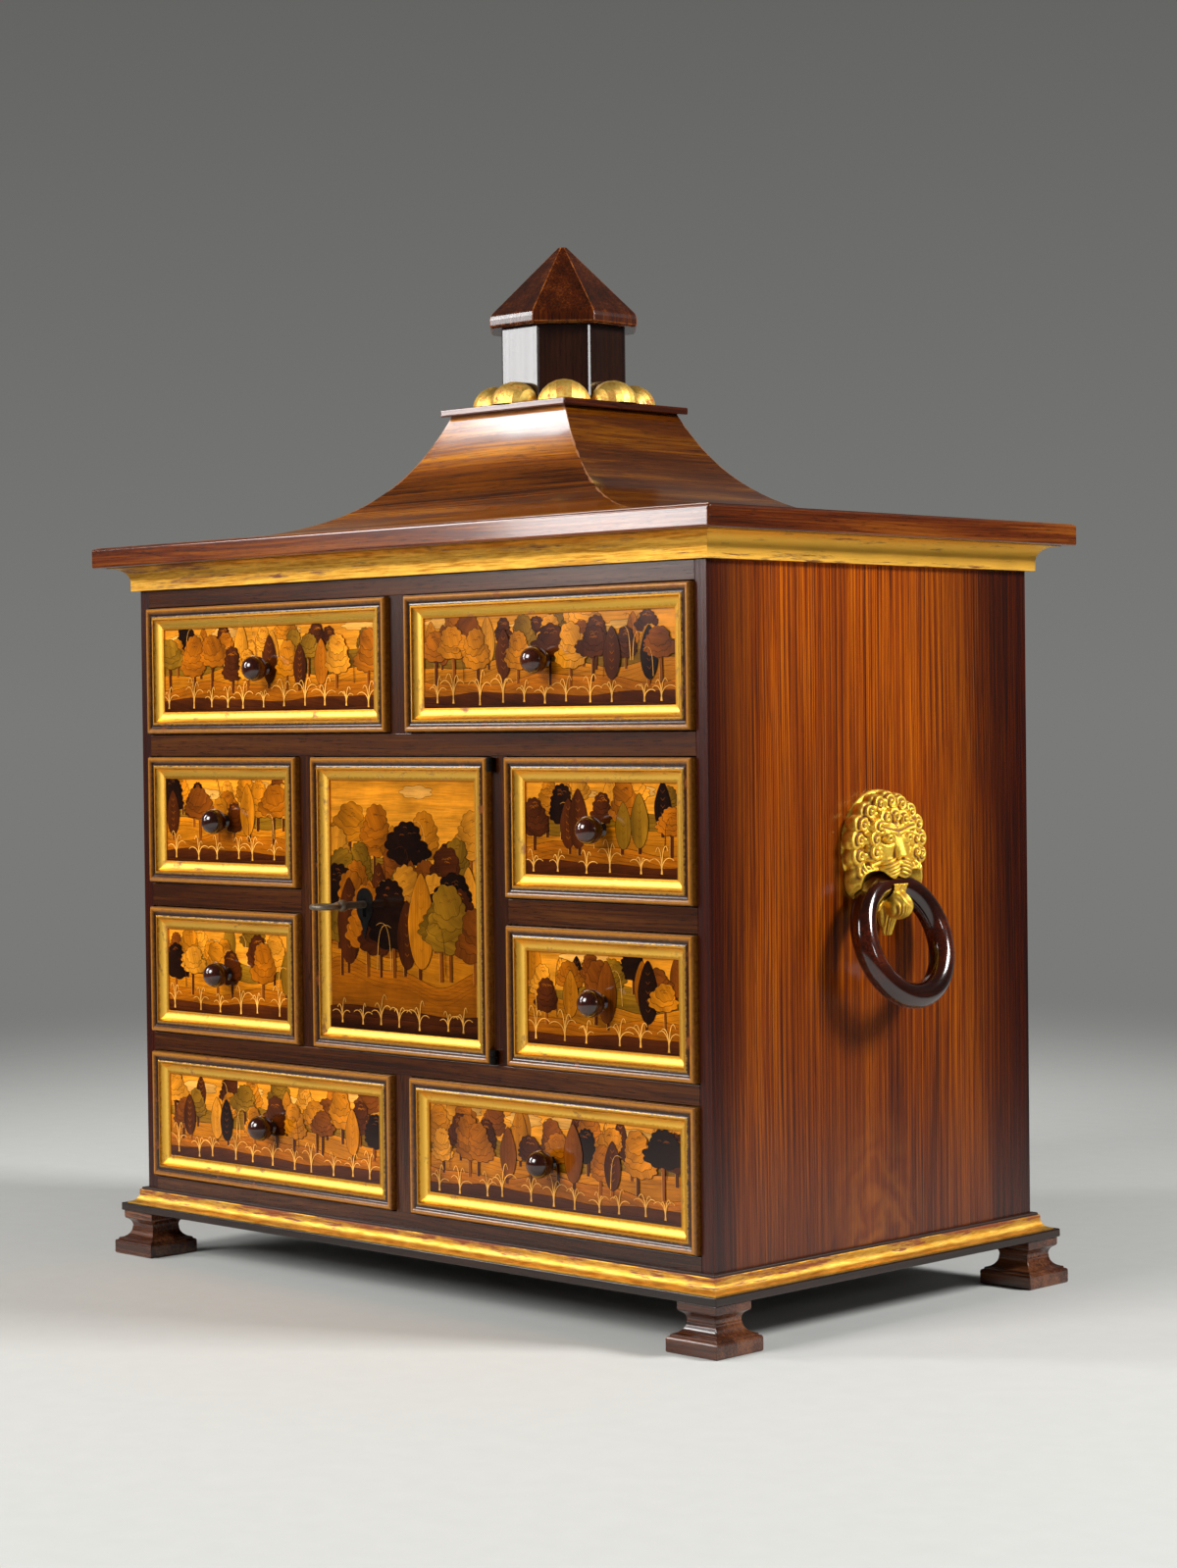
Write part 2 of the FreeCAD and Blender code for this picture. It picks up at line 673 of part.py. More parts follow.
def door():
    """The door: its board with the lock let in from behind, its frame, hinge pins and escutcheon."""
    lock_x = ("board_left_x", "key_x + lock_reach")
    lock_z = ("key_z - lock_height / 2", "key_z + lock_height / 2")
    blank = board(
        "door_blank", ("board_left_x", "door_edge_x"), ("panel_y", "door_back_y"), ("door_low_z", "door_high_z"),
    )
    recess = board(
        "lock_recess", ("board_left_x - overrun", lock_x[1]), ("lock_front_y", "door_back_y + overrun"), lock_z,
    )
    way = keyhole("door_keyhole", "panel_y - overrun", "lock_front_y + overrun")
    door_board = cut("door_board", blank, [recess, way])
    middle = "(door_low_z + door_high_z) / 2"
    lengths = front_frame("door_frame_lengths", "door_width", "door_height", "0", middle)
    stems = [knuckle_stem(f"stem_room_{end}", end) for end in ("low", "high")]
    frame = cut("door_frame", lengths, stems)
    return [door_board, frame, hinge_pins(), escutcheon()] + lock(lock_x, lock_z)


def escutcheon():
    """The dark drop-shaped plate round the keyhole, its faces flat and its outline curved."""
    half, height = size("escutcheon_width") / 2, size("escutcheon_height")
    drop = size("escutcheon_drop")
    face = outline_face(ESCUTCHEON_SHARES, lambda u, v: Vector(u * half, v * height - drop, 0))
    plate = solid_piece("escutcheon_plate", face.extrude(Z * size("escutcheon_thick")))
    seat(plate, "key_x", "panel_y", "key_z", Rotation(X, 90))
    way = keyhole("plate_keyhole", "panel_y - escutcheon_thick - overrun", "panel_y + overrun")
    return cut("escutcheon", plate, [way])


def lock(lock_x, lock_z):
    """Lock case with its cover, and the bolt. The bolt is drawn back and the key's bit lies beside its notch."""
    shell = board("lock_shell", lock_x, ("lock_front_y", "lock_cover_y"), lock_z)
    room = board(
        "lock_room",
        (f"{lock_x[0]} + lock_wall", f"{lock_x[1]} - lock_wall"),
        ("lock_front_y + lock_wall", "lock_cover_y + overrun"),
        (f"{lock_z[0]} + lock_wall", f"{lock_z[1]} - lock_wall"),
    )
    bolt_y = ("bolt_y - bolt_thick / 2", "bolt_y + bolt_thick / 2")
    slot = board(
        "bolt_slot",
        (f"{lock_x[0]} - overrun", f"{lock_x[0]} + lock_wall + overrun"),
        (f"{bolt_y[0]} - bolt_gap", f"{bolt_y[1]} + bolt_gap"),
        ("bolt_low_z - bolt_gap", "bolt_high_z + bolt_gap"),
    )
    way = keyhole("case_keyhole", "lock_front_y - overrun", "lock_front_y + lock_wall + overrun")
    tray = cut("case_tray", shell, [room, slot, way])
    cover = board("case_cover", lock_x, ("lock_cover_y", "door_back_y"), lock_z)
    bar = board("bolt_bar", (lock_x[0], "key_x + bolt_tail"), bolt_y, ("bolt_low_z", "bolt_high_z"))
    # The bit swings over the top of its turn inside this notch while the bolt travels
    notch = board(
        "bolt_notch",
        ("key_x - bit_thick", "key_x + bit_reach + bit_thick"),
        (f"{bolt_y[0]} - overrun", f"{bolt_y[1]} + overrun"),
        ("bolt_low_z - overrun", "key_z + bit_reach + bolt_gap"),
    )
    return [group("lock_case", [tray, cover]), cut("lock_bolt", bar, [notch])]


def key():
    """The key: shank, collar, ring bow lying flat and the bit inside the lock, pointing right."""
    inward = Rotation(X, -90)
    shank = cylinder(
        "key_shank", "shank_radius", "bolt_y + bit_width / 2 - bow_y - bow_radius", "key_x", "bow_y + bow_radius",
        "key_z", inward,
    )
    bow = doc.addObject("Part::Torus", "key_bow")
    bind(bow, Radius1="bow_radius", Radius2="bow_wire")
    seat(bow, "key_x", "bow_y", "key_z")
    collar = doc.addObject("Part::Sphere", "key_collar")
    bind(collar, Radius="collar_radius")
    seat(collar, "key_x", "bow_y + bow_radius + bow_wire + collar_radius", "key_z")
    bit = board(
        "key_bit",
        ("key_x", "key_x + bit_reach"),
        ("bolt_y - bit_width / 2", "bolt_y + bit_width / 2"),
        ("key_z - bit_thick / 2", "key_z + bit_thick / 2"),
    )
    return fused("key", [shank, bow, collar, bit])


def ring(name, side):
    """A turned ring hanging from the mask's mouth, its foot held out by the beard."""
    hoop = doc.addObject("Part::Torus", name)
    bind(hoop, Radius1="ring_radius", Radius2="ring_wire")
    sign = "" if side > 0 else "-"
    return seat(
        hoop,
        f"{sign}(half_width + hinge_depth + ring_radius * sin(ring_tilt_angle * 1 deg))",
        "centre_y",
        "hinge_height - ring_radius * cos(ring_tilt_angle * 1 deg)",
        Rotation(Y, side * (90 - size("ring_tilt_angle"))),
    )


def ring_room():
    """The room that the ring sweeps round its hinge axis, the Y axis here, hanging at first."""
    radius, wire = size("ring_radius"), size("ring_wire") + size("ring_gap")
    tilt = math.radians(size("ring_tilt_angle"))
    down = Vector(math.sin(tilt), 0, -math.cos(tilt))
    normal = Vector(math.cos(tilt), 0, math.sin(tilt))
    middle = down * radius
    disc = Part.Face(Part.Wire(Part.makeCircle(radius + wire, middle, normal)))
    hole = Part.Face(Part.Wire(Part.makeCircle(radius - wire, middle, normal)))
    annulus = disc.cut(hole)
    # The ring's flat shape is split along the hinge axis, and each part turned through the swing
    room = []
    for way in (1, -1):
        reach = down * (way * 3 * radius)
        side = Y * 3 * radius
        half_plane = Part.Face(Part.makePolygon([side, -side, reach - side, reach + side, side]))
        room.append(annulus.common(half_plane).revolve(Vector(), -Y, size("ring_swing_angle")))
    start = Part.makeTorus(radius, wire, middle, normal)
    end = start.copy()
    end.rotate(Vector(), -Y, size("ring_swing_angle"))
    return room + [start, end]


def mask_forms():
    """Balls and bars of the lion's head facing +X, with its twin forms and its two rows of curls."""
    depth, half = size("mask_depth"), size("mask_width") / 2
    height, drop = size("mask_height"), size("mask_drop")

    def spot(out, across, up):
        return Vector(out * depth, across * half, up * height - drop)

    forms = []
    for out, across, up, radius in BALL_SHARES:
        for side in (1, -1) if across else (1,):
            forms.append(Part.makeSphere(radius * half, spot(out, side * across, up)))
    for shares in BAR_SHARES:
        for side in (1, -1) if shares[1] else (1,):
            start = spot(shares[0], side * shares[1], shares[2])
            run = spot(shares[3], side * shares[4], shares[5]) - start
            forms.append(Part.makeCone(shares[6] * half, shares[7] * half, run.Length, start, run))
    mane_up = BALL_SHARES[0][2]
    for shares, count, first in zip(CURL_SHARES, CURL_COUNTS, CURL_START_ANGLES):
        out, reach_across, reach_up, radius = shares
        for k in range(count):
            angle = math.radians(first + k * (180 - 2 * first) / (count - 1))
            middle = spot(out, reach_across * math.cos(angle), mane_up + reach_up * math.sin(angle))
            forms.append(Part.makeSphere(radius * half, middle))
    return forms


def masks():
    """The two lion masks back to back, each with the room that its ring swings through."""
    forms = mask_forms()
    reach = 2 * size("mask_height")
    front = Part.makeBox(reach, reach, 2 * reach, Vector(0, -reach / 2, -reach))
    whole = forms[0].multiFuse(forms[1:]).common(front)
    hinge = X * size("hinge_depth")
    carved = whole.cut([room.translated(hinge) for room in ring_room()])
    # A crumb that the ring's room parts from the muzzle is left out
    right = max(carved.Solids, key=lambda solid: solid.Volume)
    left = right.copy()
    left.rotate(Vector(), Z, 180)
    right.translate(X * size("half_width"))
    left.translate(-X * size("half_width"))
    return seat(solid_piece("lion_masks", Part.makeCompound([left, right])), "0", "centre_y", "hinge_height")


def rooftop():
    """Slabs, roof, lantern and beads over the carcase."""
    slab_size = ("case_width + 2 * slab_overhang", "case_depth + 2 * slab_overhang")
    return [
        slab("top_slab", *slab_size, "slab_thick", "slab_edge", "case_top"),
        roof(),
        slab("cap_slab", "cap_width", "cap_width", "cap_thick", "thin_edge", "roof_top"),
        gilt_beads(),
    ] + lantern()


def underframe():
    """Plinth slab and feet."""
    plinth_size = ("case_width + 2 * plinth_overhang", "case_depth + 2 * plinth_overhang")
    return [slab("plinth_slab", *plinth_size, "plinth_thick", "thin_edge", "foot_height"), feet()]


def check_and_write(pieces):
    """Stop on a failed object or a bad shape, then write one file to a sub-part."""
    failed = [item.Name for item in doc.Objects if {"Invalid", "Error"} & set(item.State)]
    if failed:
        raise RuntimeError("failed objects: " + ", ".join(failed))
    for piece in pieces:
        if piece.Shape.isNull() or not piece.Shape.isValid() or not piece.Shape.Solids:
            raise RuntimeError("bad shape: " + piece.Label)
    os.makedirs("parts", exist_ok=True)
    for piece in pieces:
        piece.Shape.exportStep(os.path.join("parts", piece.Label + ".step"))
        print(f"{piece.Label}: {len(piece.Shape.Solids)} solids, {piece.Shape.Volume:.1f} mm3")


# Each drawer's middle across, the floor of its opening and the width of its front
DRAWERS = {
    "top_left": ("-wide_centre", "top_row_z", "wide_front_width"),
    "top_right": ("wide_centre", "top_row_z", "wide_front_width"),
    "left_upper": ("-side_centre", "upper_row_z", "side_front_width"),
    "left_lower": ("-side_centre", "lower_row_z", "side_front_width"),
    "right_upper": ("side_centre", "upper_row_z", "side_front_width"),
    "right_lower": ("side_centre", "lower_row_z", "side_front_width"),
    "bottom_left": ("-wide_centre", "bottom_row_z", "wide_front_width"),
    "bottom_right": ("wide_centre", "bottom_row_z", "wide_front_width"),
}

pieces = underframe() + carcase() + rooftop()
pieces.append(case_moulding("base_moulding", BASE_SHARES, "base_overhang", "base_height", "case_bottom"))
pieces.append(
    case_moulding("cornice_moulding", CORNICE_SHARES, "cornice_overhang", "cornice_height",
                  "case_top - cornice_height")
)
for drawer_name, (drawer_x, drawer_z, drawer_width) in DRAWERS.items():
    pieces += drawer(drawer_name, drawer_x, drawer_z, drawer_width)
pieces += door() + [hinge_eyes(), key()]
pieces += [masks(), ring("ring_left", -1), ring("ring_right", 1)]
doc.recompute()
check_and_write(pieces)
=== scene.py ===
import math
import random

import bmesh
import bpy
import numpy as np
from mathutils import Matrix, Vector


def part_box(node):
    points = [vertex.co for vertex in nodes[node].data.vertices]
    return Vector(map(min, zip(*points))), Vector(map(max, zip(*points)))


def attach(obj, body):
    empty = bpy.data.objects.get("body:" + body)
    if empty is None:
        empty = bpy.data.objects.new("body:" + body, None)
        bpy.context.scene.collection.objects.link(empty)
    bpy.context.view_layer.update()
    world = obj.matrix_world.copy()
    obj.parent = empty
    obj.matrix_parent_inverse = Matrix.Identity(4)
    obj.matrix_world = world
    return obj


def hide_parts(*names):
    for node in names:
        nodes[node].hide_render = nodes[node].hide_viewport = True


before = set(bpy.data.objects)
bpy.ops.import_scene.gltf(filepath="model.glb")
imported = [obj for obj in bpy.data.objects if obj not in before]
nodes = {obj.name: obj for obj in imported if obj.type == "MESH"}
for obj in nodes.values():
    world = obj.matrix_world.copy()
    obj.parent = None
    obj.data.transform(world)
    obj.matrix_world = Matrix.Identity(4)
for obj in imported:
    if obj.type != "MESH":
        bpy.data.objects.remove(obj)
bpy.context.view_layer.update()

MM = 0.001
DRAWERS = [
    "top_left", "top_right", "left_upper", "left_lower", "right_upper", "right_lower", "bottom_left",
    "bottom_right",
]
RAILS = [
    "bottom_board", "top_rail", "shelf_lower", "shelf_upper", "stack_shelf_left", "stack_shelf_right",
]
STILES = ["divider_bottom", "divider_top", "door_post_left", "door_post_right"]
IRONWORK = ["hinge_eyes", "hinge_pins", "escutcheon", "lock_case", "lock_bolt"]
FRAME_WIDTH = 14 * MM
EAVE_HEIGHT = 7.5 * MM
ESCUTCHEON_DROP = 21 * MM
ROOF_TOP_HALF = 50 * MM
# Edges sharper than the first angle stay crisp, and arrises sharper than the second are eased
CREASE, ARRIS_ANGLE = math.radians(32), math.radians(30)
SAME_PLACE = 1e-6
CASE_LOW, CASE_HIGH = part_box("side_panel_right")
CENTRE_Y = (CASE_LOW.y + CASE_HIGH.y) / 2


# Colours and nodes

def linear(code):
    """A colour written as sRGB hex, as linear values with full alpha."""
    channels = [int(code[k:k + 2], 16) / 255 for k in (0, 2, 4)]
    return [c / 12.92 if c <= 0.04045 else ((c + 0.055) / 1.055) ** 2.4 for c in channels] + [1]


def add(tree, kind, inputs=(), stops=(), out=0, **settings):
    """Add a node with its settings, and give back one of its outputs, or all of them where out is None.

    The inputs are given by name, or in Blender's own order, as values or as the sockets that feed them. A
    colour is sRGB hex.
    """
    made = tree.nodes.new(kind)
    for name, value in settings.items():
        setattr(made, name, value)
    if stops:
        elements = made.color_ramp.elements
        while len(elements) < len(stops):
            elements.new(0.5)
        for element, (place, colour) in zip(elements, stops):
            element.position = place
            element.color = linear(colour) if isinstance(colour, str) else colour
    for key, value in inputs.items() if isinstance(inputs, dict) else enumerate(inputs):
        if isinstance(value, bpy.types.NodeSocket):
            tree.links.new(value, made.inputs[key])
        else:
            made.inputs[key].default_value = linear(value) if isinstance(value, str) else value
    return made.outputs if out is None else made.outputs[out]


# A node that maps a range takes the value, the range it comes from and the range it goes to. One that mixes
# colours takes the amount as input 0 and the colours as 6 and 7, and has one of these settings
MIXED = {"data_type": "RGBA", "out": 2}
MULTIPLIED = {**MIXED, "blend_type": "MULTIPLY"}


def new_material(name):
    """An empty material with its tree, and the object's own coordinates in metres."""
    material = bpy.data.materials.new(name)
    material.use_nodes = True
    tree = material.node_tree
    tree.nodes.clear()
    return material, tree, add(tree, "ShaderNodeTexCoord", out="Object")


def finish_material(tree, inputs, bump=None, depth=0.0):
    """The surface shader, with a bump of a given depth in metres where a height is given."""
    if bump is not None:
        height = {"Height": bump, "Distance": depth, "Strength": 1.0}
        inputs = {**inputs, "Normal": add(tree, "ShaderNodeBump", height)}
    shader = add(tree, "ShaderNodeBsdfPrincipled", inputs)
    add(tree, "ShaderNodeOutputMaterial", {"Surface": shader}, out=None)


def grey(value):
    """A grey stop of a ramp that carries a number."""
    return [value, value, value, 1]


def streaks(tree, place, along, width, stretch, detail=3.0, drift=0.0):
    """Noise drawn out along the grain: bands of a given width in metres, stretched along one axis."""
    scale = [1.0, 1.0, 1.0]
    scale[along] = 1 / stretch
    drawn = add(tree, "ShaderNodeMapping", {"Vector": place, "Location": (drift,) * 3, "Scale": scale})
    return add(tree, "ShaderNodeTexNoise", {
        "Vector": drawn, "Scale": 1 / width, "Detail": detail, "Roughness": 0.6, "Distortion": 0.15,
    })


def wood(
    name, along, dark, middle, light, roughness=0.2, coat=0.6, figure=30 * MM, fine=1.3 * MM, lines=0.55,
    straight=1.0, place=None, shaded=None,
):
    """Polished hardwood: straight close grain under a slow figure, with fine dark pores and a shellac gloss.

    The eye gets depth from the figure, silk from the close lines, and a thin sharp reflection on top.
    """
    material, tree, own_place = new_material(name)
    place = place(tree, own_place) if place else own_place
    # The grain lines wander a few millimetres across their run
    wander = streaks(tree, place, along, 160 * MM, 2.5, 1.0, 3.0)
    sway = (20 * MM / straight,) * 3
    moved = add(tree, "ShaderNodeVectorMath", (wander, sway, place), operation="MULTIPLY_ADD")
    slow = streaks(tree, moved, along, figure, 14.0, 2.0)
    close = streaks(tree, moved, along, fine, 90.0 * straight, 3.0 / straight, 7.0)
    bands = streaks(tree, moved, along, 4 * fine, 70.0, 2.0, 11.0)
    pores = streaks(tree, moved, along, 0.45 * fine, 22.0 * straight, 2.0, 5.0)
    layers = [(close, lines), (bands, 0.5 * lines / straight), (slow, 0.7)]
    mixed = 0.0
    for pattern, share in layers:
        mixed = add(tree, "ShaderNodeMath", (pattern, share, mixed), operation="MULTIPLY_ADD")
    centre, spread = 0.5 * sum(share for pattern, share in layers), 0.13 * (1 + lines)
    tone = add(tree, "ShaderNodeMapRange", (mixed, centre - spread, centre + spread))
    tone = add(tree, "ShaderNodeValToRGB", [tone], [(0.05, dark), (0.5, middle), (0.95, light)])
    pits = add(tree, "ShaderNodeValToRGB", [pores], [(0.34, grey(0.45)), (0.43, grey(1.0))])
    colour = add(tree, "ShaderNodeMix", {0: 1.0, 6: tone, 7: pits}, **MULTIPLIED)
    if shaded:
        colour = shaded(tree, own_place, colour)
    gloss = add(tree, "ShaderNodeMapRange", (close, 0.0, 1.0, roughness + 0.10, roughness - 0.06))
    finish_material(tree, {
        "Base Color": colour, "Roughness": gloss, "IOR": 1.46, "Coat Weight": coat, "Coat Roughness": 0.09,
    }, pores, 0.012 * MM)
    return material


def flame(tree, place, colour):
    """Arched figure low in a side panel, as a board cut near its heart has, that fades outwards."""
    wide, tall, forwards, below = 60 * MM, 130 * MM, 4 * MM, 26 * MM
    where = (0, -(CENTRE_Y - forwards) / wide, -(CASE_LOW.z - below) / tall)
    scale = (0, 1 / wide, 1 / tall)
    centred = add(tree, "ShaderNodeMapping", {"Vector": place, "Location": where, "Scale": scale})
    far = add(tree, "ShaderNodeVectorMath", [centred], out="Value", operation="LENGTH")
    cloud = add(tree, "ShaderNodeTexNoise", {"Vector": place, "Scale": 1 / (30 * MM), "Detail": 3.0})
    ring = add(tree, "ShaderNodeMath", (cloud, 0.8, far), operation="MULTIPLY_ADD")
    ring = add(tree, "ShaderNodeMath", (ring, 32.0), operation="MULTIPLY")
    ring = add(tree, "ShaderNodeMath", [ring], operation="SINE")
    ring = add(tree, "ShaderNodeMapRange", (ring, -1.0))
    figure = add(tree, "ShaderNodeMix", {0: ring, 6: "8A3A02", 7: "DA7C1C"}, **MIXED)
    amount = add(tree, "ShaderNodeMapRange", (far, 0.2, 1.0, 0.22, 0.0), interpolation_type="SMOOTHSTEP")
    return add(tree, "ShaderNodeMix", {0: amount, 6: colour, 7: figure}, **MIXED)


def painted_shade_towards_edges_and_foot(reach_front, reach_back, strength, painted_shade_tint):
    """A painted shade of a side panel: its colour is darker towards the front, the back and the foot."""
    def shaded(tree, place, colour):
        split = add(tree, "ShaderNodeSeparateXYZ", [place], out=None)
        near = [
            add(tree, "ShaderNodeMapRange", (split[1], edge, end), interpolation_type="SMOOTHSTEP")
            for edge, end in ((CASE_LOW.y, CASE_LOW.y + reach_front), (CASE_HIGH.y, CASE_HIGH.y - reach_back))
        ]
        near = add(tree, "ShaderNodeMath", near, operation="MINIMUM")
        near = add(tree, "ShaderNodeMapRange", (near, 0.0, 1.0, strength, 0.0))
        foot = add(tree, "ShaderNodeMapRange", (split[2], CASE_LOW.z, CASE_HIGH.z, 0.8, 0.0))
        amount = add(tree, "ShaderNodeMath", (near, foot), operation="MAXIMUM")
        colour = add(tree, "ShaderNodeMix", {0: amount, 6: colour, 7: painted_shade_tint}, **MULTIPLIED)
        return flame(tree, place, colour)
    return shaded


def mitre_places(tree, split, slope, start):
    """How far out from the middle the mitre line runs for each place, and how far out the place itself is."""
    off_x = add(tree, "ShaderNodeMath", [split[0]], operation="ABSOLUTE")
    off_y = add(tree, "ShaderNodeMath", (split[1], CENTRE_Y), operation="SUBTRACT")
    off_y = add(tree, "ShaderNodeMath", [off_y], operation="ABSOLUTE")
    return add(tree, "ShaderNodeMath", (off_x, slope, start), operation="MULTIPLY_ADD"), off_y


def gold_leaf(name, bright, deep, bole, wear, roughness, drawn=0.1, lines=None, bare=None, painted_light_past=None):
    """Water gilding on red bole, burnished and rubbed: metal that shows streaks of clay where hands wore it.

    A drawn one streaks along its moulding, and one with lines keeps dark wax in its carved hollows. A bare
    one loses its leaf towards the height given, and is brown wood above it. Past a mitre given as the last
    argument, the leaf on the far side is painted brighter: painted light on that side.
    """
    material, tree, place = new_material(name)
    along = add(tree, "ShaderNodeMapping", {"Vector": place, "Scale": (drawn, drawn, 1.0)})
    streak = add(tree, "ShaderNodeTexNoise", {
        "Vector": along, "Scale": 1 / (1.3 * MM), "Detail": 5.0, "Roughness": 0.65,
    })
    patch = add(tree, "ShaderNodeTexNoise", {
        "Vector": along, "Scale": 1 / (7 * MM), "Detail": 6.0, "Roughness": 0.7,
    })
    split = add(tree, "ShaderNodeSeparateXYZ", [place], out=None)
    tone = add(tree, "ShaderNodeValToRGB", [streak], [(0.34, deep), (0.58, bright)])
    # Past the mitre the leaf is painted a brighter gold: painted light on the cornice's end faces
    if painted_light_past:
        mitre = mitre_places(tree, split, 1.0, painted_light_past)
        on_side = add(tree, "ShaderNodeMath", mitre, operation="GREATER_THAN")
        on_side = add(tree, "ShaderNodeMath", (on_side, 0.85), operation="MULTIPLY")
        tone = add(tree, "ShaderNodeMix", {0: on_side, 6: tone, 7: "FFC852"}, **MIXED)
    patch = add(tree, "ShaderNodeMath", (patch, 0.6), operation="MULTIPLY")
    joined = add(tree, "ShaderNodeMath", (streak, 0.4, patch), operation="MULTIPLY_ADD")
    if bare:
        thinner = add(tree, "ShaderNodeMapRange", (split[2], bare - 7 * MM, bare, 0.0, 0.13))
        joined = add(tree, "ShaderNodeMath", (joined, thinner), operation="ADD")
    worn = add(tree, "ShaderNodeMapRange", (joined, 0.53 + wear, 0.60 + wear))
    if lines:
        waxed = add(tree, "ShaderNodeAttribute", out="Fac", attribute_name=lines)
        waxed = add(tree, "ShaderNodeMapRange", (waxed, 0.45, 0.95))
        worn = add(tree, "ShaderNodeMath", (worn, waxed), operation="MAXIMUM")
    if bare:
        over = add(tree, "ShaderNodeMath", (split[2], bare), operation="GREATER_THAN")
        worn = add(tree, "ShaderNodeMath", (worn, over), operation="MAXIMUM")
    colour = add(tree, "ShaderNodeMix", {0: worn, 6: tone, 7: bole}, **MIXED)
    if bare:
        colour = add(tree, "ShaderNodeMix", {0: over, 6: colour, 7: "32180A"}, **MIXED)
    metal = add(tree, "ShaderNodeMapRange", (worn, 0.0, 1.0, 1.0, 0.0))
    cloud = add(tree, "ShaderNodeTexNoise", {"Vector": place, "Scale": 1 / (26 * MM), "Detail": 2.0})
    rough = add(tree, "ShaderNodeMapRange", (cloud, 0.0, 1.0, roughness - 0.10, roughness + 0.12))
    finish_material(tree, {"Base Color": colour, "Metallic": metal, "Roughness": rough}, streak, 0.10 * MM)
    return material


# Pieces taken from the CAD model

def dress(node, material):
    """Give a CAD node its material."""
    slots = nodes[node].data.materials
    slots.clear()
    slots.append(material)


def new_object(name, data):
    """An object of the scene that shows the data given."""
    made = bpy.data.objects.new(name, data)
    bpy.context.scene.collection.objects.link(made)
    return made


def evaluated_mesh(maker):
    """The mesh that an object's modifiers make. The object itself goes."""
    mesh = bpy.data.meshes.new_from_object(maker.evaluated_get(bpy.context.evaluated_depsgraph_get()))
    bpy.data.objects.remove(maker)
    return mesh


def ordinary_mesh(name, points, faces, smooth=False):
    """A mesh object at the origin, its places given in metres."""
    mesh = bpy.data.meshes.new(name)
    mesh.from_pydata(points, [], faces)
    mesh.validate()
    mesh.polygons.foreach_set("use_smooth", [smooth] * len(mesh.polygons))
    return new_object(name, mesh)


def soften(mesh, mitred=None):
    """Smooth shading with crisp edges, also along mitres, where the named attribute changes."""
    bm = bmesh.new()
    bm.from_mesh(mesh)
    bmesh.ops.recalc_face_normals(bm, faces=bm.faces)
    layer = bm.verts.layers.float.get(mitred) if mitred else None
    for face in bm.faces:
        face.smooth = True
    for edge in bm.edges:
        on_mitre = layer and abs(edge.verts[0][layer] - edge.verts[1][layer]) > SAME_PLACE
        edge.smooth = edge.is_manifold and edge.calc_face_angle() < CREASE and not on_mitre
    bm.to_mesh(mesh)
    bm.free()


def on_box(edge, run, low, high):
    """Whether an edge runs along the outside of a box, and not round a mortise in it."""
    return all(
        min(abs(v.co[k] - low[k]), abs(v.co[k] - high[k])) < 0.01 * MM
        for v in edge.verts for k in range(3) if k != run
    )


def eased(node, name, body, material, radius, axes=(0, 1, 2), worn=None, steps=3, rim=None, board=True):
    """A CAD piece again with its outer arrises eased along the given axes, so that they catch the light.

    Where a worn material is given, the eased arrises get it: a paler wood, both rubbed polish and a painted
    highlight. A rim is a height and a wider radius for it. Of a board, only the arrises on its outside are
    eased.
    """
    low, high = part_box(node)
    source = nodes[node].data
    bm = bmesh.new()
    places = [bm.verts.new(v.co) for v in source.vertices]
    for polygon in source.polygons:
        bm.faces.new([places[k] for k in polygon.vertices])
    bmesh.ops.remove_doubles(bm, verts=bm.verts, dist=SAME_PLACE)
    bmesh.ops.dissolve_limit(bm, angle_limit=math.radians(1), verts=bm.verts, edges=bm.edges)
    bmesh.ops.recalc_face_normals(bm, faces=bm.faces)
    ease = {"profile": 0.5, "affect": "EDGES", "clamp_overlap": True}
    if rim:
        level, wide = rim
        round_it = [edge for edge in bm.edges if all(abs(v.co.z - level) < 0.2 * MM for v in edge.verts)]
        bmesh.ops.bevel(bm, geom=round_it, offset=wide, segments=4, material=-1, **ease)
    sharp = []
    for edge in bm.edges:
        if not edge.is_manifold or not edge.is_convex or edge.calc_face_angle() < ARRIS_ANGLE:
            continue
        direction = (edge.verts[1].co - edge.verts[0].co).normalized()
        run = max(range(3), key=lambda k: abs(direction[k]))
        if run in axes and (not board or on_box(edge, run, low, high)):
            sharp.append(edge)
    bmesh.ops.bevel(bm, geom=sharp, offset=radius, segments=steps, material=1 if worn else -1, **ease)
    piece = ordinary_mesh(name, [], [])
    bm.to_mesh(piece.data)
    bm.free()
    piece.data.polygons.foreach_set("use_smooth", [False] * len(piece.data.polygons))
    for finish in (material, worn) if worn else (material,):
        piece.data.materials.append(finish)
    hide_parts(node)
    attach(piece, body)


# Woods

# The side panels carry a painted shade towards their front, back and foot, and a flame figure low down
SIDE_PANEL = wood(
    "rosewood_side_panels", 2, "521C00", "A24400", "DA7208", roughness=0.24, coat=0.0, figure=44 * MM,
    fine=0.9 * MM, lines=1.1, straight=3.0, shaded=painted_shade_towards_edges_and_foot(72 * MM, 155 * MM, 0.98, "4C2C06"),
)
FACING_ACROSS = wood("dark_rosewood_rails", 0, "1E0A03", "401D09", "5E3414", roughness=0.2, coat=0.0)
FACING_UP = wood("dark_rosewood_stiles", 2, "1A0802", "381706", "562E10", roughness=0.2, coat=0.0)
SHAFT = wood("ebonised_lantern_shaft", 2, "180A06", "30180E", "44240E", roughness=0.14, coat=0.6, lines=0.3)
SPIRE = wood("rosewood_lantern_roof", 2, "240A00", "481A02", "7A3C10", roughness=0.22, coat=0.3)
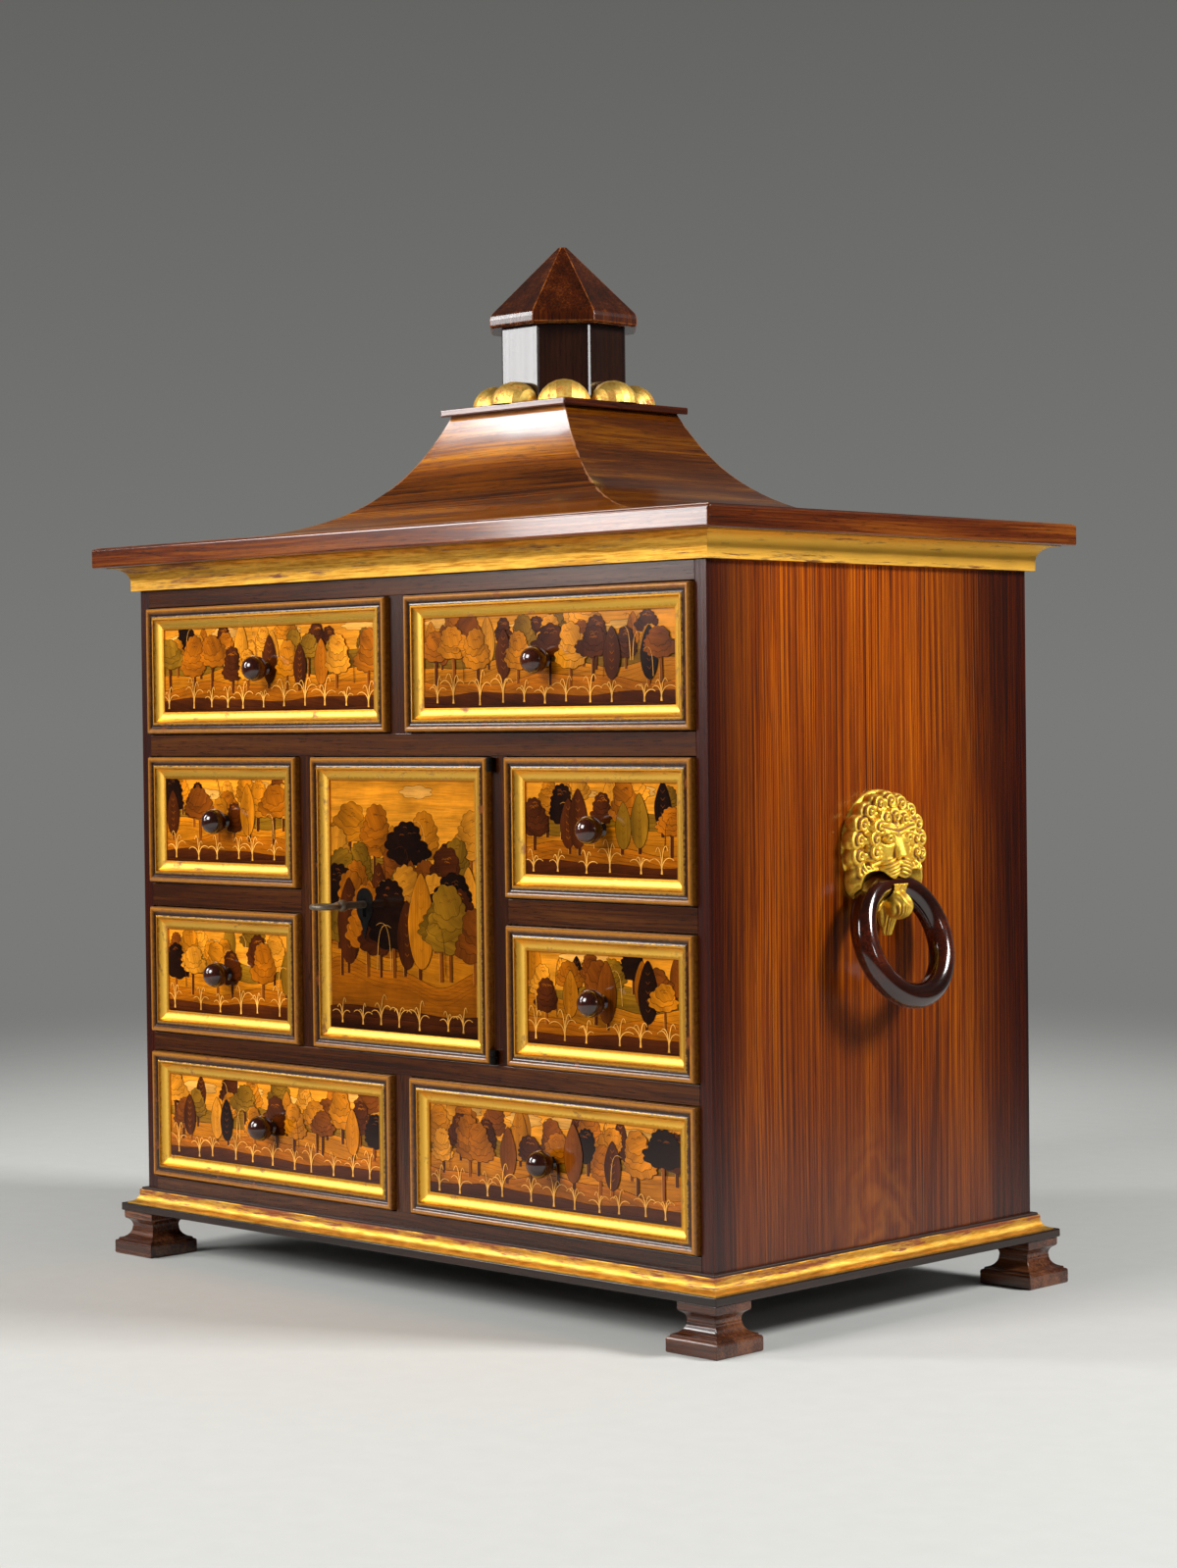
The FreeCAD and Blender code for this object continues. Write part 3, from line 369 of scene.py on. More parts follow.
FEET = wood("rosewood_feet", 0, "1C0A04", "4A2412", "7C4A2C", roughness=0.2, coat=0.3)
TURNED = wood("turned_rosewood_rings", 1, "1C0400", "3A1002", "66240A", roughness=0.12, coat=0.8, lines=0.3)
# Paler wood for the eased arrises of the spire: rubbed polish, and a painted highlight along them
ARRIS_WEAR_AND_HIGHLIGHT = wood("rubbed_arrises_painted_highlight", 2, "3A1806", "7A3C12", "A8622A", roughness=0.26, coat=0.2, figure=6 * MM)
KNOBS = wood("turned_rosewood_knobs", 2, "1A0602", "341006", "562410", roughness=0.14, coat=0.8, lines=0.3)
LININGS = wood("planed_oak_linings", 1, "7A5024", "A8783E", "C49458", roughness=0.55, coat=0.0)
BACK = wood("stained_back_board", 0, "28160A", "462A14", "64401E", roughness=0.5, coat=0.0)
CASE_HALF = (CASE_HIGH.y - CASE_LOW.y) / 2 - CASE_HIGH.x
BASE_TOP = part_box("base_moulding")[1].z
GOLD = gold_leaf("water_gilding", "FAC65C", "CE8A26", "8A4214", 0.03, 0.46, bare=BASE_TOP - 1.4 * MM)
# The cornice's end faces are painted brighter past the corner mitres: painted light
GOLD_CORNICE = gold_leaf(
    "rubbed_gilding_cornice", "F8C252", "BC7C24", "7C3E10", 0.0, 0.54, 0.06, painted_light_past=CASE_HALF,
)
GOLD_BEADS = gold_leaf("gilt_beads", "FFDE78", "F6B044", "C8702A", 0.0, 0.5, 0.7)
GOLD_MASKS = gold_leaf("gilt_carving", "FFDE5C", "FAB434", "84400A", 0.13, 0.52, 1.0, "hollow")


def mitred_place(slope, start):
    """Coordinates whose grain runs along each edge: past the mitre from the corner, X and Y are swapped."""
    def placed(tree, place):
        split = add(tree, "ShaderNodeSeparateXYZ", [place], out=None)
        mitre = mitre_places(tree, split, slope, start)
        on_side = add(tree, "ShaderNodeMath", mitre, operation="GREATER_THAN")
        swapped = add(tree, "ShaderNodeCombineXYZ", (split[1], split[0], split[2]))
        return add(tree, "ShaderNodeMix", {0: on_side, 4: place, 5: swapped}, out=1, data_type="VECTOR")
    return placed


def square_mitre(node):
    """The mitre of a slab whose bands all have one width."""
    low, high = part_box(node)
    return mitred_place(1.0, (high.y - low.y) / 2 - high.x)


def hip_highlight_and_end_shade(slope, start):
    """A shading of the roof: the end slopes are painted darker, as painted shade, and the hips get a pale
    line that is both rubbed polish and a painted highlight.
    """
    def shaded(tree, place, colour):
        split = add(tree, "ShaderNodeSeparateXYZ", [place], out=None)
        hip, off_y = mitre_places(tree, split, slope, start)
        off = add(tree, "ShaderNodeMath", (hip, off_y), operation="SUBTRACT")
        off = add(tree, "ShaderNodeMath", [off], operation="ABSOLUTE")
        ragged = add(tree, "ShaderNodeTexNoise", {"Vector": place, "Scale": 1 / (9 * MM), "Detail": 4.0})
        wide = add(tree, "ShaderNodeMapRange", (ragged, 0.4, 0.62, 0.0, 0.9 * MM))
        rubbed = add(tree, "ShaderNodeMath", (off, wide), operation="LESS_THAN")
        rubbed = add(tree, "ShaderNodeMath", (rubbed, 0.7), operation="MULTIPLY")
        on_side = add(tree, "ShaderNodeMath", (hip, off_y), operation="GREATER_THAN")
        on_side = add(tree, "ShaderNodeMath", (on_side, 0.9), operation="MULTIPLY")
        # The end slopes are multiplied darker as painted shade; the pale line along the hips is rubbed polish
        # and a painted highlight
        colour = add(tree, "ShaderNodeMix", {0: on_side, 6: colour, 7: "9A8E66"}, **MULTIPLIED)
        return add(tree, "ShaderNodeMix", {0: rubbed, 6: colour, 7: "B07850"}, **MIXED)
    return shaded


ROOF_LOW, ROOF_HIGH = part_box("roof")
HIP_SLOPE = ((ROOF_HIGH.y - ROOF_LOW.y) / 2 - ROOF_TOP_HALF) / (ROOF_HIGH.x - ROOF_TOP_HALF)
HIP_START = ROOF_TOP_HALF - HIP_SLOPE * ROOF_TOP_HALF

ROOF = wood(
    "rosewood_roof", 0, "381400", "8E4800", "E89200", roughness=0.18, coat=0.4, lines=0.35,
    place=mitred_place(HIP_SLOPE, HIP_START), shaded=hip_highlight_and_end_shade(HIP_SLOPE, HIP_START),
)
SLAB = wood(
    "rosewood_top_slab", 0, "280C00", "642808", "9C5414", roughness=0.16, coat=0.6,
    place=square_mitre("top_slab"),
)
CAP = wood(
    "rosewood_cap_slab", 0, "240A00", "4A1A06", "78380E", roughness=0.16, coat=0.6,
    place=square_mitre("cap_slab"),
)
PLINTH = wood(
    "dark_plinth", 0, "0C0502", "1C0C05", "341A0C", roughness=0.22, coat=0.1,
    place=square_mitre("plinth_slab"),
)

for node in ("side_panel_left", "side_panel_right"):
    eased(node, node + "_eased", "case", SIDE_PANEL, 0.6 * MM)
for node in RAILS:
    eased(node, node + "_eased", "case", FACING_ACROSS, 0.4 * MM, (0,))
for node in STILES:
    eased(node, node + "_eased", "case", FACING_UP, 0.4 * MM, (2,))
dress("top_board", LININGS)
dress("back_panel", BACK)
dress("top_slab", SLAB)
dress("cap_slab", CAP)
dress("roof", ROOF)
eased("lantern", "lantern_eased", "case", SHAFT, 0.8 * MM, (2,), steps=1, board=False)
eased(
    "lantern_roof", "lantern_roof_eased", "case", SPIRE, 0.5 * MM, worn=ARRIS_WEAR_AND_HIGHLIGHT,
    rim=(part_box("lantern_roof")[0].z + EAVE_HEIGHT, 2.6 * MM), board=False,
)
dress("plinth_slab", PLINTH)
eased("feet", "feet_eased", "case", FEET, 0.5 * MM, board=False)
dress("gilt_beads", GOLD_BEADS)
dress("base_moulding", GOLD)
dress("cornice_moulding", GOLD_CORNICE)
dress("ring_left", TURNED)
dress("ring_right", TURNED)
for drawer in DRAWERS:
    dress(f"drawer_{drawer}_box", LININGS)
    dress(f"drawer_{drawer}_knob", KNOBS)
dress("door_board", LININGS)


# Marquetry

VENEERS = {
    "pale": "F0A848", "maple": "E8901E", "honey": "CC760C", "amber": "B46006", "olive": "90600E",
    "walnut": "844008", "chestnut": "522206", "bog_oak": "200C04",
}
CROWNS = [
    "amber", "honey", "bog_oak", "walnut", "olive", "honey", "amber", "chestnut", "maple", "chestnut",
]
LEAF_LINES = {
    "maple": "walnut", "honey": "chestnut", "amber": "chestnut", "olive": "chestnut", "walnut": "chestnut",
    "chestnut": "amber", "bog_oak": "walnut",
}
# The pictures are drawn in millimetres. A skin lies this far over the last one, and a joint is this wide
VENEER_LIFT, JOINT_WIDTH = 0.0012, 0.22
# Half the keyhole's width, and how far its foot is below its middle
KEYHOLE_HALF, KEYHOLE_FOOT = 3.4, 8.4
# Trees grow as in a panel of the first height at most, and a panel under the second height is a low one
TREE_ROOM, LOW_PANEL = 84, 90


def marquetry_veneer():
    """Thin veneers of fruitwood and walnut, scorched in hot sand, scraped flat and shellacked.

    The eye sees flat shapes that differ in tone and in the run of their grain under one even gloss.
    """
    material, tree, place = new_material("marquetry_veneer")
    colour = add(tree, "ShaderNodeAttribute", out="Color", attribute_name="tone")
    # The grain attribute is in millimetres along and across each veneer
    grain = add(tree, "ShaderNodeAttribute", out="Vector", attribute_name="grain")
    drawn = add(tree, "ShaderNodeMapping", {"Vector": grain, "Scale": (0.06, 1.0, 1.0)})
    fine = add(tree, "ShaderNodeTexNoise", {
        "Vector": drawn, "Scale": 1 / 0.9, "Detail": 4.0, "Roughness": 0.65,
    })
    slow = add(tree, "ShaderNodeTexNoise", {"Vector": drawn, "Scale": 1 / 5.0, "Detail": 2.0})
    streak = add(tree, "ShaderNodeMath", (fine, slow), operation="ADD")
    streak = add(tree, "ShaderNodeMapRange", (streak, 0.65, 1.35, 0.52, 1.32))
    patina = add(tree, "ShaderNodeTexNoise", {
        "Vector": place, "Scale": 1 / (24 * MM), "Detail": 3.0, "Roughness": 0.6,
    })
    patina = add(tree, "ShaderNodeMapRange", (patina, 0.3, 0.7, 0.72, 1.12))
    for shade in (streak, patina):
        colour = add(tree, "ShaderNodeMix", {0: 1.0, 6: colour, 7: shade}, **MULTIPLIED)
    shader = {"Base Color": colour, "Roughness": 0.15, "IOR": 1.46, "Specular IOR Level": 0.35}
    finish_material(tree, shader, fine, 0.008 * MM)
    return material


class Picture:
    """One marquetry picture in millimetres about its middle: shapes laid one over the other as thin skins."""

    def __init__(self, half_width, half_height, seed, painted_light_and_tone):
        self.half_width, self.half_height, self.painted_light_and_tone = half_width, half_height, painted_light_and_tone
        self.dice = random.Random(seed)
        self.points, self.faces, self.tones, self.grains = [], [], [], []
        self.shapes = 0

    def lay(self, rows, veneer, grain_angle=0.0, shades=None, closed=False):
        """A shape as rows of points, all as long, darkened by its shades. A closed one joins its ends."""
        self.shapes += 1
        start, across = len(self.points), len(rows[0])
        # A picture's brightness carries painted light as well as its veneers' own tone, which also differs at
        # random per shape
        base = self.painted_light_and_tone * self.dice.uniform(0.9, 1.1)
        colour = [channel * base for channel in linear(VENEERS[veneer])[:3]]
        turn = (math.cos(grain_angle), math.sin(grain_angle))
        drift = self.dice.uniform(0, 400)
        for row, line in enumerate(rows):
            for column, (x, z) in enumerate(line):
                x = min(max(x, -self.half_width), self.half_width)
                z = min(max(z, -self.half_height), self.half_height)
                light = 1 - (shades[row][column] if shades else 0)
                self.points.append((x, self.shapes * VENEER_LIFT, z))
                self.tones.append([channel * light for channel in colour])
                self.grains.append((x * turn[0] + z * turn[1] + drift, z * turn[0] - x * turn[1], drift))
        for row in range(len(rows) - 1):
            for column in range(across if closed else across - 1):
                following = (column + 1) % across
                a, b = start + row * across + column, start + row * across + following
                self.faces.append((a, b, b + across, a + across))

    def line(self, path, width, veneer, taper=0.0):
        """A thin line of stringing along a path, narrower towards its end by the share given."""
        left, right = [], []
        for k, (x, z) in enumerate(path):
            before, after = path[max(k - 1, 0)], path[min(k + 1, len(path) - 1)]
            along = (after[0] - before[0], after[1] - before[1])
            length = math.hypot(*along) or 1.0
            half = width / 2 * (1 - taper * k / (len(path) - 1))
            off = (-along[1] / length * half, along[0] / length * half)
            left.append((x + off[0], z + off[1]))
            right.append((x - off[0], z - off[1]))
        angle = math.atan2(path[-1][1] - path[0][1], path[-1][0] - path[0][0])
        self.lay([left, right], veneer, angle)

    def blob(self, x, z, outline, veneer, grain_angle=0.0, scorch=0.5, side=1.0):
        """A rounded shape: rings from its middle out to the outline, scorched towards one side."""
        rows, shades = [], []
        reach = max(abs(px) for px, pz in outline) or 1.0
        for ring in (0.02, 0.35, 0.62, 0.82, 0.94, 1.0):
            rows.append([(x + px * ring, z + pz * ring) for px, pz in outline])
            towards = [0.5 + 0.62 * side * px * ring / reach for px, pz in outline]
            shades.append([scorch * min(max(share, 0.0), 1.0) ** 1.6 for share in towards])
        self.lay(rows, veneer, grain_angle, shades, closed=True)
        edge = [(x + px, z + pz) for px, pz in outline]
        self.line(edge + edge[:1], JOINT_WIDTH, "bog_oak")

    def slope(self, ridge, veneer, scorch=0.5, lines=0):
        """Rising ground from its ridge down to the foot of the panel, with furrows that follow the ridge."""
        rows, shades = [], []
        for share in (0.0, 0.12, 0.3, 0.6, 1.0):
            rows.append([(x, z + share * (-self.half_height - z)) for x, z in ridge])
            shades.append([scorch * share ** 0.7] * len(ridge))
        self.lay(rows, veneer, self.dice.uniform(-0.25, 0.25), shades)
        self.line(ridge, JOINT_WIDTH, "bog_oak")
        for k in range(lines):
            drop = (k + 1) * 2.6
            self.line([(x, z - drop - 0.4 * math.sin(x / 9 + k)) for x, z in ridge], 0.16, "chestnut")

    def mesh(self, name, place):
        """The picture as a mesh object at its place, facing the front."""
        points = [(place.x + x * MM, place.y - y * MM, place.z + z * MM) for x, y, z in self.points]
        piece = ordinary_mesh(name, points, self.faces)
        tone = piece.data.attributes.new("tone", "FLOAT_COLOR", "POINT")
        tone.data.foreach_set("color", [c for t in self.tones for c in (*t, 1.0)])
        grain = piece.data.attributes.new("grain", "FLOAT_VECTOR", "POINT")
        grain.data.foreach_set("vector", [c for g in self.grains for c in g])
        return piece


def round_outline(half_width, half_height, lobes, depth, steps=44, phase=0.0):
    """A lobed oval, as a leafy crown has."""
    outline = []
    for k in range(steps):
        angle = 2 * math.pi * k / steps
        swell = 1 - depth * (1 - abs(math.sin(lobes * angle / 2 + phase)))
        outline.append((half_width * swell * math.cos(angle), half_height * swell * math.sin(angle)))
    return outline


def pointed_outline(half_width, half_height, steps=40):
    """A tall flame, as a cypress or poplar has."""
    outline = []
    for k in range(steps):
        angle = 2 * math.pi * k / steps
        up = math.sin(angle)
        slim = (1 - max(up, 0.0)) ** 0.45 if up > 0 else 1.0
        outline.append((half_width * math.cos(angle) * (0.35 + 0.65 * slim), half_height * up))
    return outline


def ridge_line(picture, height, swell, phase):
    """A rolling ridge right across the panel."""
    half, steps = picture.half_width, 72
    ridge = []
    for k in range(steps + 1):
        x = -half + 2 * half * k / steps
        z = height + swell * (math.sin(x / 23 + phase) + 0.45 * math.sin(x / 9.5 + 2.1 * phase))
        ridge.append((x, z))
    return ridge


def plant_tree(picture, x, foot, top, kind, trunk, crown):
    """A tree: its trunk, a crown by kind, and the leaf lines on the crown."""
    dice = picture.dice
    tall = top - foot
    width = dice.uniform(1.2, 2.0) + tall * 0.02
    lean = dice.uniform(-0.05, 0.05) * tall
    path = [(x + lean * (k / 6) ** 2, foot + tall * 0.8 * k / 6) for k in range(7)]
    picture.line(path, width, trunk)
    picture.line([(px + width / 2, pz) for px, pz in path], 0.22, "bog_oak")
    picture.line([(px - width / 2, pz) for px, pz in path], 0.16, "pale")
    for branch in (-1, 1):
        start = path[3 + (branch > 0)]
        picture.line(
            [(start[0] + branch * 0.9 * k, start[1] + 0.25 * k * k + k) for k in range(5)], 0.7, trunk, 0.7,
        )
    side = dice.choice((-1, 1))
    if kind == "pointed":
        outline = pointed_outline(tall * 0.17 + 1.5, tall * 0.48)
        middle = foot + tall * 0.58
        picture.blob(x + lean, middle, outline, crown, math.pi / 2, 0.42, side)
        for k in range(5):
            z = middle - tall * 0.3 + tall * 0.14 * k
            chevron = [(x + lean + off, z + abs(off)) for off in (-1.6, 0, 1.6)]
            picture.line(chevron, 0.2, LEAF_LINES[crown])
        return
    low, wide = (0.46, 0.40) if kind == "round" else (0.66, 0.50)
    tiers = 4 if kind == "round" else 3
    for tier in range(tiers):
        share = tier / max(tiers - 1, 1)
        middle = foot + tall * (low + (0.96 - low) * share * 0.72)
        half = tall * wide * (0.86 - 0.34 * share) + 1.0
        lobes, phase = dice.choice((7, 9, 11)), dice.uniform(0, 3)
        outline = round_outline(half, tall * 0.17 + 1.0, lobes, 0.16, 54, phase)
        drift = dice.uniform(-0.16, 0.16) * half
        picture.blob(x + lean + drift, middle, outline, crown, dice.uniform(0, math.pi), 0.42, side)
        for k in range(dice.randint(4, 6)):
            angle = dice.uniform(0.2, 2.9)
            cx = x + lean + drift + half * 0.55 * math.cos(angle) * dice.uniform(0.3, 1)
            cz = middle + tall * 0.1 * math.sin(angle) * dice.uniform(-0.6, 1)
            curl = [(cx + 1.7 * math.cos(a / 3), cz + 1.2 * math.sin(a / 3)) for a in range(1, 9)]
            picture.line(curl, 0.22, LEAF_LINES[crown])


def fern(picture, x, foot, tall):
    """A pale stem that parts into thin fronds, which spring up at odd heights and bend over."""
    picture.line([(x, foot), (x, foot + 0.1 * tall), (x, foot + 0.2 * tall)], 1.6, "pale", 0.6)
    for lean in (-1.0, -0.5, 0.45, 1.0):
        height = tall * (0.9 - 0.42 * abs(lean)) * picture.dice.uniform(0.75, 1.3)
        reach = lean * tall * picture.dice.uniform(0.26, 0.42)
        path = []
        for step in range(15):
            turn = 2.2 * step / 14
            path.append((x + reach * (1 - math.cos(turn)), foot + 0.12 * tall + height * math.sin(turn)))
        picture.line(path, 0.75, "pale", 0.45)


def weeping_branch(picture, x, foot, tall, side):
    """A long thin branch that rises, bends over near the top and hangs, with a few leaves on its bow."""
    path = []
    for step in range(15):
        t = step / 14
        path.append((x + side * tall * (0.06 * t + 0.34 * t ** 4), foot + tall * (t * 1.25 - 0.42 * t ** 5)))
    picture.line(path, 0.5, picture.dice.choice(("pale", "chestnut")), 0.6)
    for step in (8, 10, 12):
        px, pz = path[step]
        leaf = [(px, pz), (px + side * 0.8, pz - 1.2), (px + side * 0.9, pz - 2.4)]
        picture.line(leaf, 0.36, "chestnut", 0.7)


def woodland(picture):
    """Hills, rows of tall trees and ferns on dark ground: a landscape of the common kind."""
    dice = picture.dice
    half, tall = picture.half_width, 2 * picture.half_height
    low, tree_room = -picture.half_height, min(tall, TREE_ROOM)
    flat = [-half + 2 * half * k / 24 for k in range(25)]
    picture.lay([[(x, picture.half_height) for x in flat], [(x, low) for x in flat]], "maple")
    clouds = max(int(half / 24), 2)
    for k in range(clouds):
        x = -half + (k + dice.uniform(0.2, 0.8)) * 2 * half / clouds
        outline = round_outline(dice.uniform(13, 22), dice.uniform(2.6, 4.6), dice.choice((5, 7)), 0.22)
        picture.blob(x, picture.half_height - dice.uniform(3, 0.2 * tall), outline, "pale", 0.0, 0.25)
    tiers, furrows_each = (3, 3) if tall < LOW_PANEL else (5, 4)
    for tier in range(tiers):
        share = tier / tiers
        height = low + tall * (0.64 - 0.50 * share)
        veneer = ("olive", "honey", "amber", "honey", "amber")[tier % 5]
        ridge = ridge_line(picture, height, tall * 0.03 + 1.0, dice.uniform(0, 6))
        picture.slope(ridge, veneer, 0.5, furrows_each)
        count = max(int(half / (12 - 1.5 * tier)), 4)
        for k in range(count):
            x = -half + (k + dice.uniform(0.1, 0.9)) * 2 * half / count
            size = (0.46 + 0.20 * share) * tree_room
            kind = dice.choice(("round", "pointed", "flat", "round"))
            trunk = dice.choice(("chestnut", "walnut", "chestnut"))
            crown = dice.choice(CROWNS)
            foot = height - 2.0 - dice.uniform(0, 3)
            plant_tree(picture, x, foot, foot + size * dice.uniform(0.75, 1.15), kind, trunk, crown)
        for k in range(max(count // 3, 1)):
            x = dice.uniform(-0.9, 0.9) * half
            weeping_branch(picture, x, height, dice.uniform(0.32, 0.42) * tree_room, dice.choice((-1, 1)))
    ground = low + min(tall * 0.15, 13)
    picture.slope(ridge_line(picture, ground, 1.2, dice.uniform(0, 6)), "chestnut", 0.55, 1)
    picture.slope(ridge_line(picture, ground - 5.4, 0.9, dice.uniform(0, 6)), "chestnut", 0.85, 0)
    count = int(half / 9)
    for k in range(count):
        x = -half + (k + dice.uniform(0.3, 0.7)) * 2 * half / count
        fern(picture, x, low + dice.uniform(2.2, 4.0), dice.uniform(13, 20))


MARQUETRY = marquetry_veneer()
PANEL_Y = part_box("drawer_top_left_box")[0].y


def inlay(name, frame_node, body, seed, painted_light_and_tone, keyhole=None):
    """Lay a picture inside a frame; it runs a millimetre under the frame's inner edge.

    Under a keyhole a near-black patch is laid: painted shade for the dark hole.
    """
    low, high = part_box(frame_node)
    half_width = ((high.x - low.x) / 2 - FRAME_WIDTH) / MM + 1
    half_height = ((high.z - low.z) / 2 - FRAME_WIDTH) / MM + 1
    picture = Picture(half_width, half_height, seed, painted_light_and_tone)
    woodland(picture)
    # A near-black patch under the keyhole: painted shade in the hole
    if keyhole:
        x, z = (keyhole[0] - (low.x + high.x) / 2) / MM, (keyhole[1] - (low.z + high.z) / 2) / MM
        levels = (z + KEYHOLE_HALF, z - KEYHOLE_FOOT)
        rows = [[(x + side * KEYHOLE_HALF, level) for side in (-1, 1)] for level in levels]
        picture.lay(rows, "bog_oak", 0.0, [[0.95] * 2] * 2)
    piece = picture.mesh(name, Vector(((low.x + high.x) / 2, PANEL_Y, (low.z + high.z) / 2)))
    piece.data.materials.append(MARQUETRY)
    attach(piece, body)


for number, drawer in enumerate(DRAWERS):
    # The left drawers' pictures are painted brighter, as painted light from the left; the door's lower value
    # is its darker veneer
    painted_light_and_tone = 1.3 if "left" in drawer else 1.0
    inlay(f"marquetry_{drawer}", f"drawer_{drawer}_frame", f"drawer_{drawer}", 31 + number, painted_light_and_tone)
PLATE_LOW, PLATE_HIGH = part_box("escutcheon")
KEY_PLACE = ((PLATE_LOW.x + PLATE_HIGH.x) / 2, PLATE_LOW.z + ESCUTCHEON_DROP)
inlay("marquetry_door", "door_frame", "door", 77, 0.8, KEY_PLACE)


# Mitred frames of the inlaid fronts

# The moulding's outline from its outer edge inwards: across and rise in shares of its width and height
FRAME_OUTLINE_SHARES = [
    (0.0, 0.0), (0.0, 0.62), (0.03, 0.84), (0.09, 0.97), (0.15, 0.98), (0.21, 0.90), (0.25, 0.80),
    (0.29, 0.72), (0.345, 0.70), (0.40, 0.74), (0.45, 0.84), (0.465, 0.88), (0.525, 0.88), (0.54, 0.72),
    (0.60, 0.56), (0.68, 0.40), (0.76, 0.30), (0.85, 0.245), (0.93, 0.22), (0.985, 0.205), (1.0, 0.17),
    (1.0, 0.0),
]


def moulding_tree():
    """A frame from a rectangle of given sizes, with the moulding's outline run round it and mitred."""
    tree = bpy.data.node_groups.new("mitred_frame", "GeometryNodeTree")
    tree.interface.new_socket("Outline", in_out="INPUT", socket_type="NodeSocketGeometry")
    for label in ("Width", "Height"):
        tree.interface.new_socket(label, in_out="INPUT", socket_type="NodeSocketFloat")
    tree.interface.new_socket("Finish", in_out="INPUT", socket_type="NodeSocketMaterial")
    tree.interface.new_socket("Frame", in_out="OUTPUT", socket_type="NodeSocketGeometry")
    given = add(tree, "NodeGroupInput", out=None)
    sizes = {label: given[label] for label in ("Width", "Height")}
    path = add(tree, "GeometryNodeCurvePrimitiveQuadrilateral", sizes)
    upright = add(tree, "GeometryNodeSetCurveNormal", {"Curve": path}, mode="Z_UP")
    outline = add(tree, "GeometryNodeMeshToCurve", {"Mesh": given["Outline"]})
    run = add(tree, "GeometryNodeCurveToMesh", {"Curve": upright, "Profile Curve": outline})
    real = add(tree, "GeometryNodeRealizeInstances", {"Geometry": run})
    painted = add(tree, "GeometryNodeSetMaterial", {"Geometry": real, "Material": given["Finish"]})
    add(tree, "NodeGroupOutput", {"Frame": painted}, out=None)
    return tree


def parcel_gilt_frame():
    """Frame moulding of polished wood, its inner hollow water gilt over red bole and rubbed along the edges.

    The eye reads a brown bead with a hard highlight, partly painted on its crest, a dark quirk painted near
    black as shade, and a bright band with a ragged border.
    """
    material, tree, place = new_material("parcel_gilt_frame")
    ragged = add(tree, "ShaderNodeTexNoise", {
        "Vector": place, "Scale": 1 / (2.2 * MM), "Detail": 5.0, "Roughness": 0.7,
    })
    drawn = add(tree, "ShaderNodeMapping", {"Vector": place, "Scale": (0.25, 1.0, 0.25)})
    patch = add(tree, "ShaderNodeTexNoise", {
        "Vector": drawn, "Scale": 1 / (4 * MM), "Detail": 4.0, "Roughness": 0.65,
    })
    across = add(tree, "ShaderNodeAttribute", out="Fac", attribute_name="across")
    shifted = add(tree, "ShaderNodeMath", (ragged, 0.16, across), operation="MULTIPLY_ADD")
    # Outer bead with a lighter crest, a painted highlight; the quirk near black, a painted shade in the
    # groove; then the leaf
    tone = add(tree, "ShaderNodeValToRGB", [shifted], [
        (0.06, "74400F"), (0.16, "BA7A2C"), (0.27, "84501A"), (0.37, "1E0E04"), (0.48, "42200E"),
        (0.53, "E0A848"), (0.60, "B4761E"), (0.66, "FABC48"), (0.92, "FFCC5A"), (1.02, "D0902E"),
    ])
    leaf = add(tree, "ShaderNodeMapRange", (shifted, 0.49, 0.53))
    rubbed = add(tree, "ShaderNodeMapRange", (patch, 0.60, 0.70, 0.0, 0.8))
    colour = add(tree, "ShaderNodeMix", {0: rubbed, 6: tone, 7: "8A4A22"}, **MIXED)
    whole = add(tree, "ShaderNodeMath", (1.0, rubbed), operation="SUBTRACT")
    metal = add(tree, "ShaderNodeMath", (leaf, whole), operation="MULTIPLY")
    polish = add(tree, "ShaderNodeMapRange", (ragged, 0.3, 0.7, 0.14, 0.24))
    rough = add(tree, "ShaderNodeMath", (leaf, 0.24, polish), operation="MULTIPLY_ADD")
    finish_material(tree, {"Base Color": colour, "Metallic": metal, "Roughness": rough}, patch, 0.1 * MM)
    return material


FRAME_TREE = moulding_tree()
PARCEL_GILT = parcel_gilt_frame()
SOCKETS = {item.name: item.identifier for item in FRAME_TREE.interface.items_tree if item.in_out == "INPUT"}


def mitred_moulding(name, node, body):
    """The frame round one front, in place of its CAD node."""
    low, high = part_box(node)
    thickness = high.y - low.y
    outline = bpy.data.meshes.new(name + "_outline")
    # The run sets an outline's X outwards and its Y downwards, and draws it out along the corner's slant
    count = len(FRAME_OUTLINE_SHARES)
    points = [(-u * FRAME_WIDTH * math.sqrt(2), -v * thickness, 0) for u, v in FRAME_OUTLINE_SHARES]
    outline.from_pydata(points, [((k + 1) % count, k) for k in range(count)], [])
    across = outline.attributes.new("across", "FLOAT", "POINT")
    across.data.foreach_set("value", [u for u, v in FRAME_OUTLINE_SHARES])
    maker = new_object(name + "_maker", outline)
    modifier = maker.modifiers.new("frame", "NODES")
    modifier.node_group = FRAME_TREE
    modifier[SOCKETS["Width"]] = high.x - low.x
    modifier[SOCKETS["Height"]] = high.z - low.z
    modifier[SOCKETS["Finish"]] = PARCEL_GILT
    mesh = evaluated_mesh(maker)
    middle = (low + high) / 2
    mesh.transform(Matrix.Translation((middle.x, high.y, middle.z)) @ Matrix.Rotation(math.pi / 2, 4, "X"))
    soften(mesh, "across")
    piece = new_object(name, mesh)
    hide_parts(node)
    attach(piece, body)


for drawer in DRAWERS:
    mitred_moulding(f"moulding_{drawer}", f"drawer_{drawer}_frame", f"drawer_{drawer}")
mitred_moulding("moulding_door", "door_frame", "door")


# Carved lion masks

# The mask's places are millimetres about its hinge axis: out from the panel, across and up
MASK_MIDDLE = (0.0, 21.5)
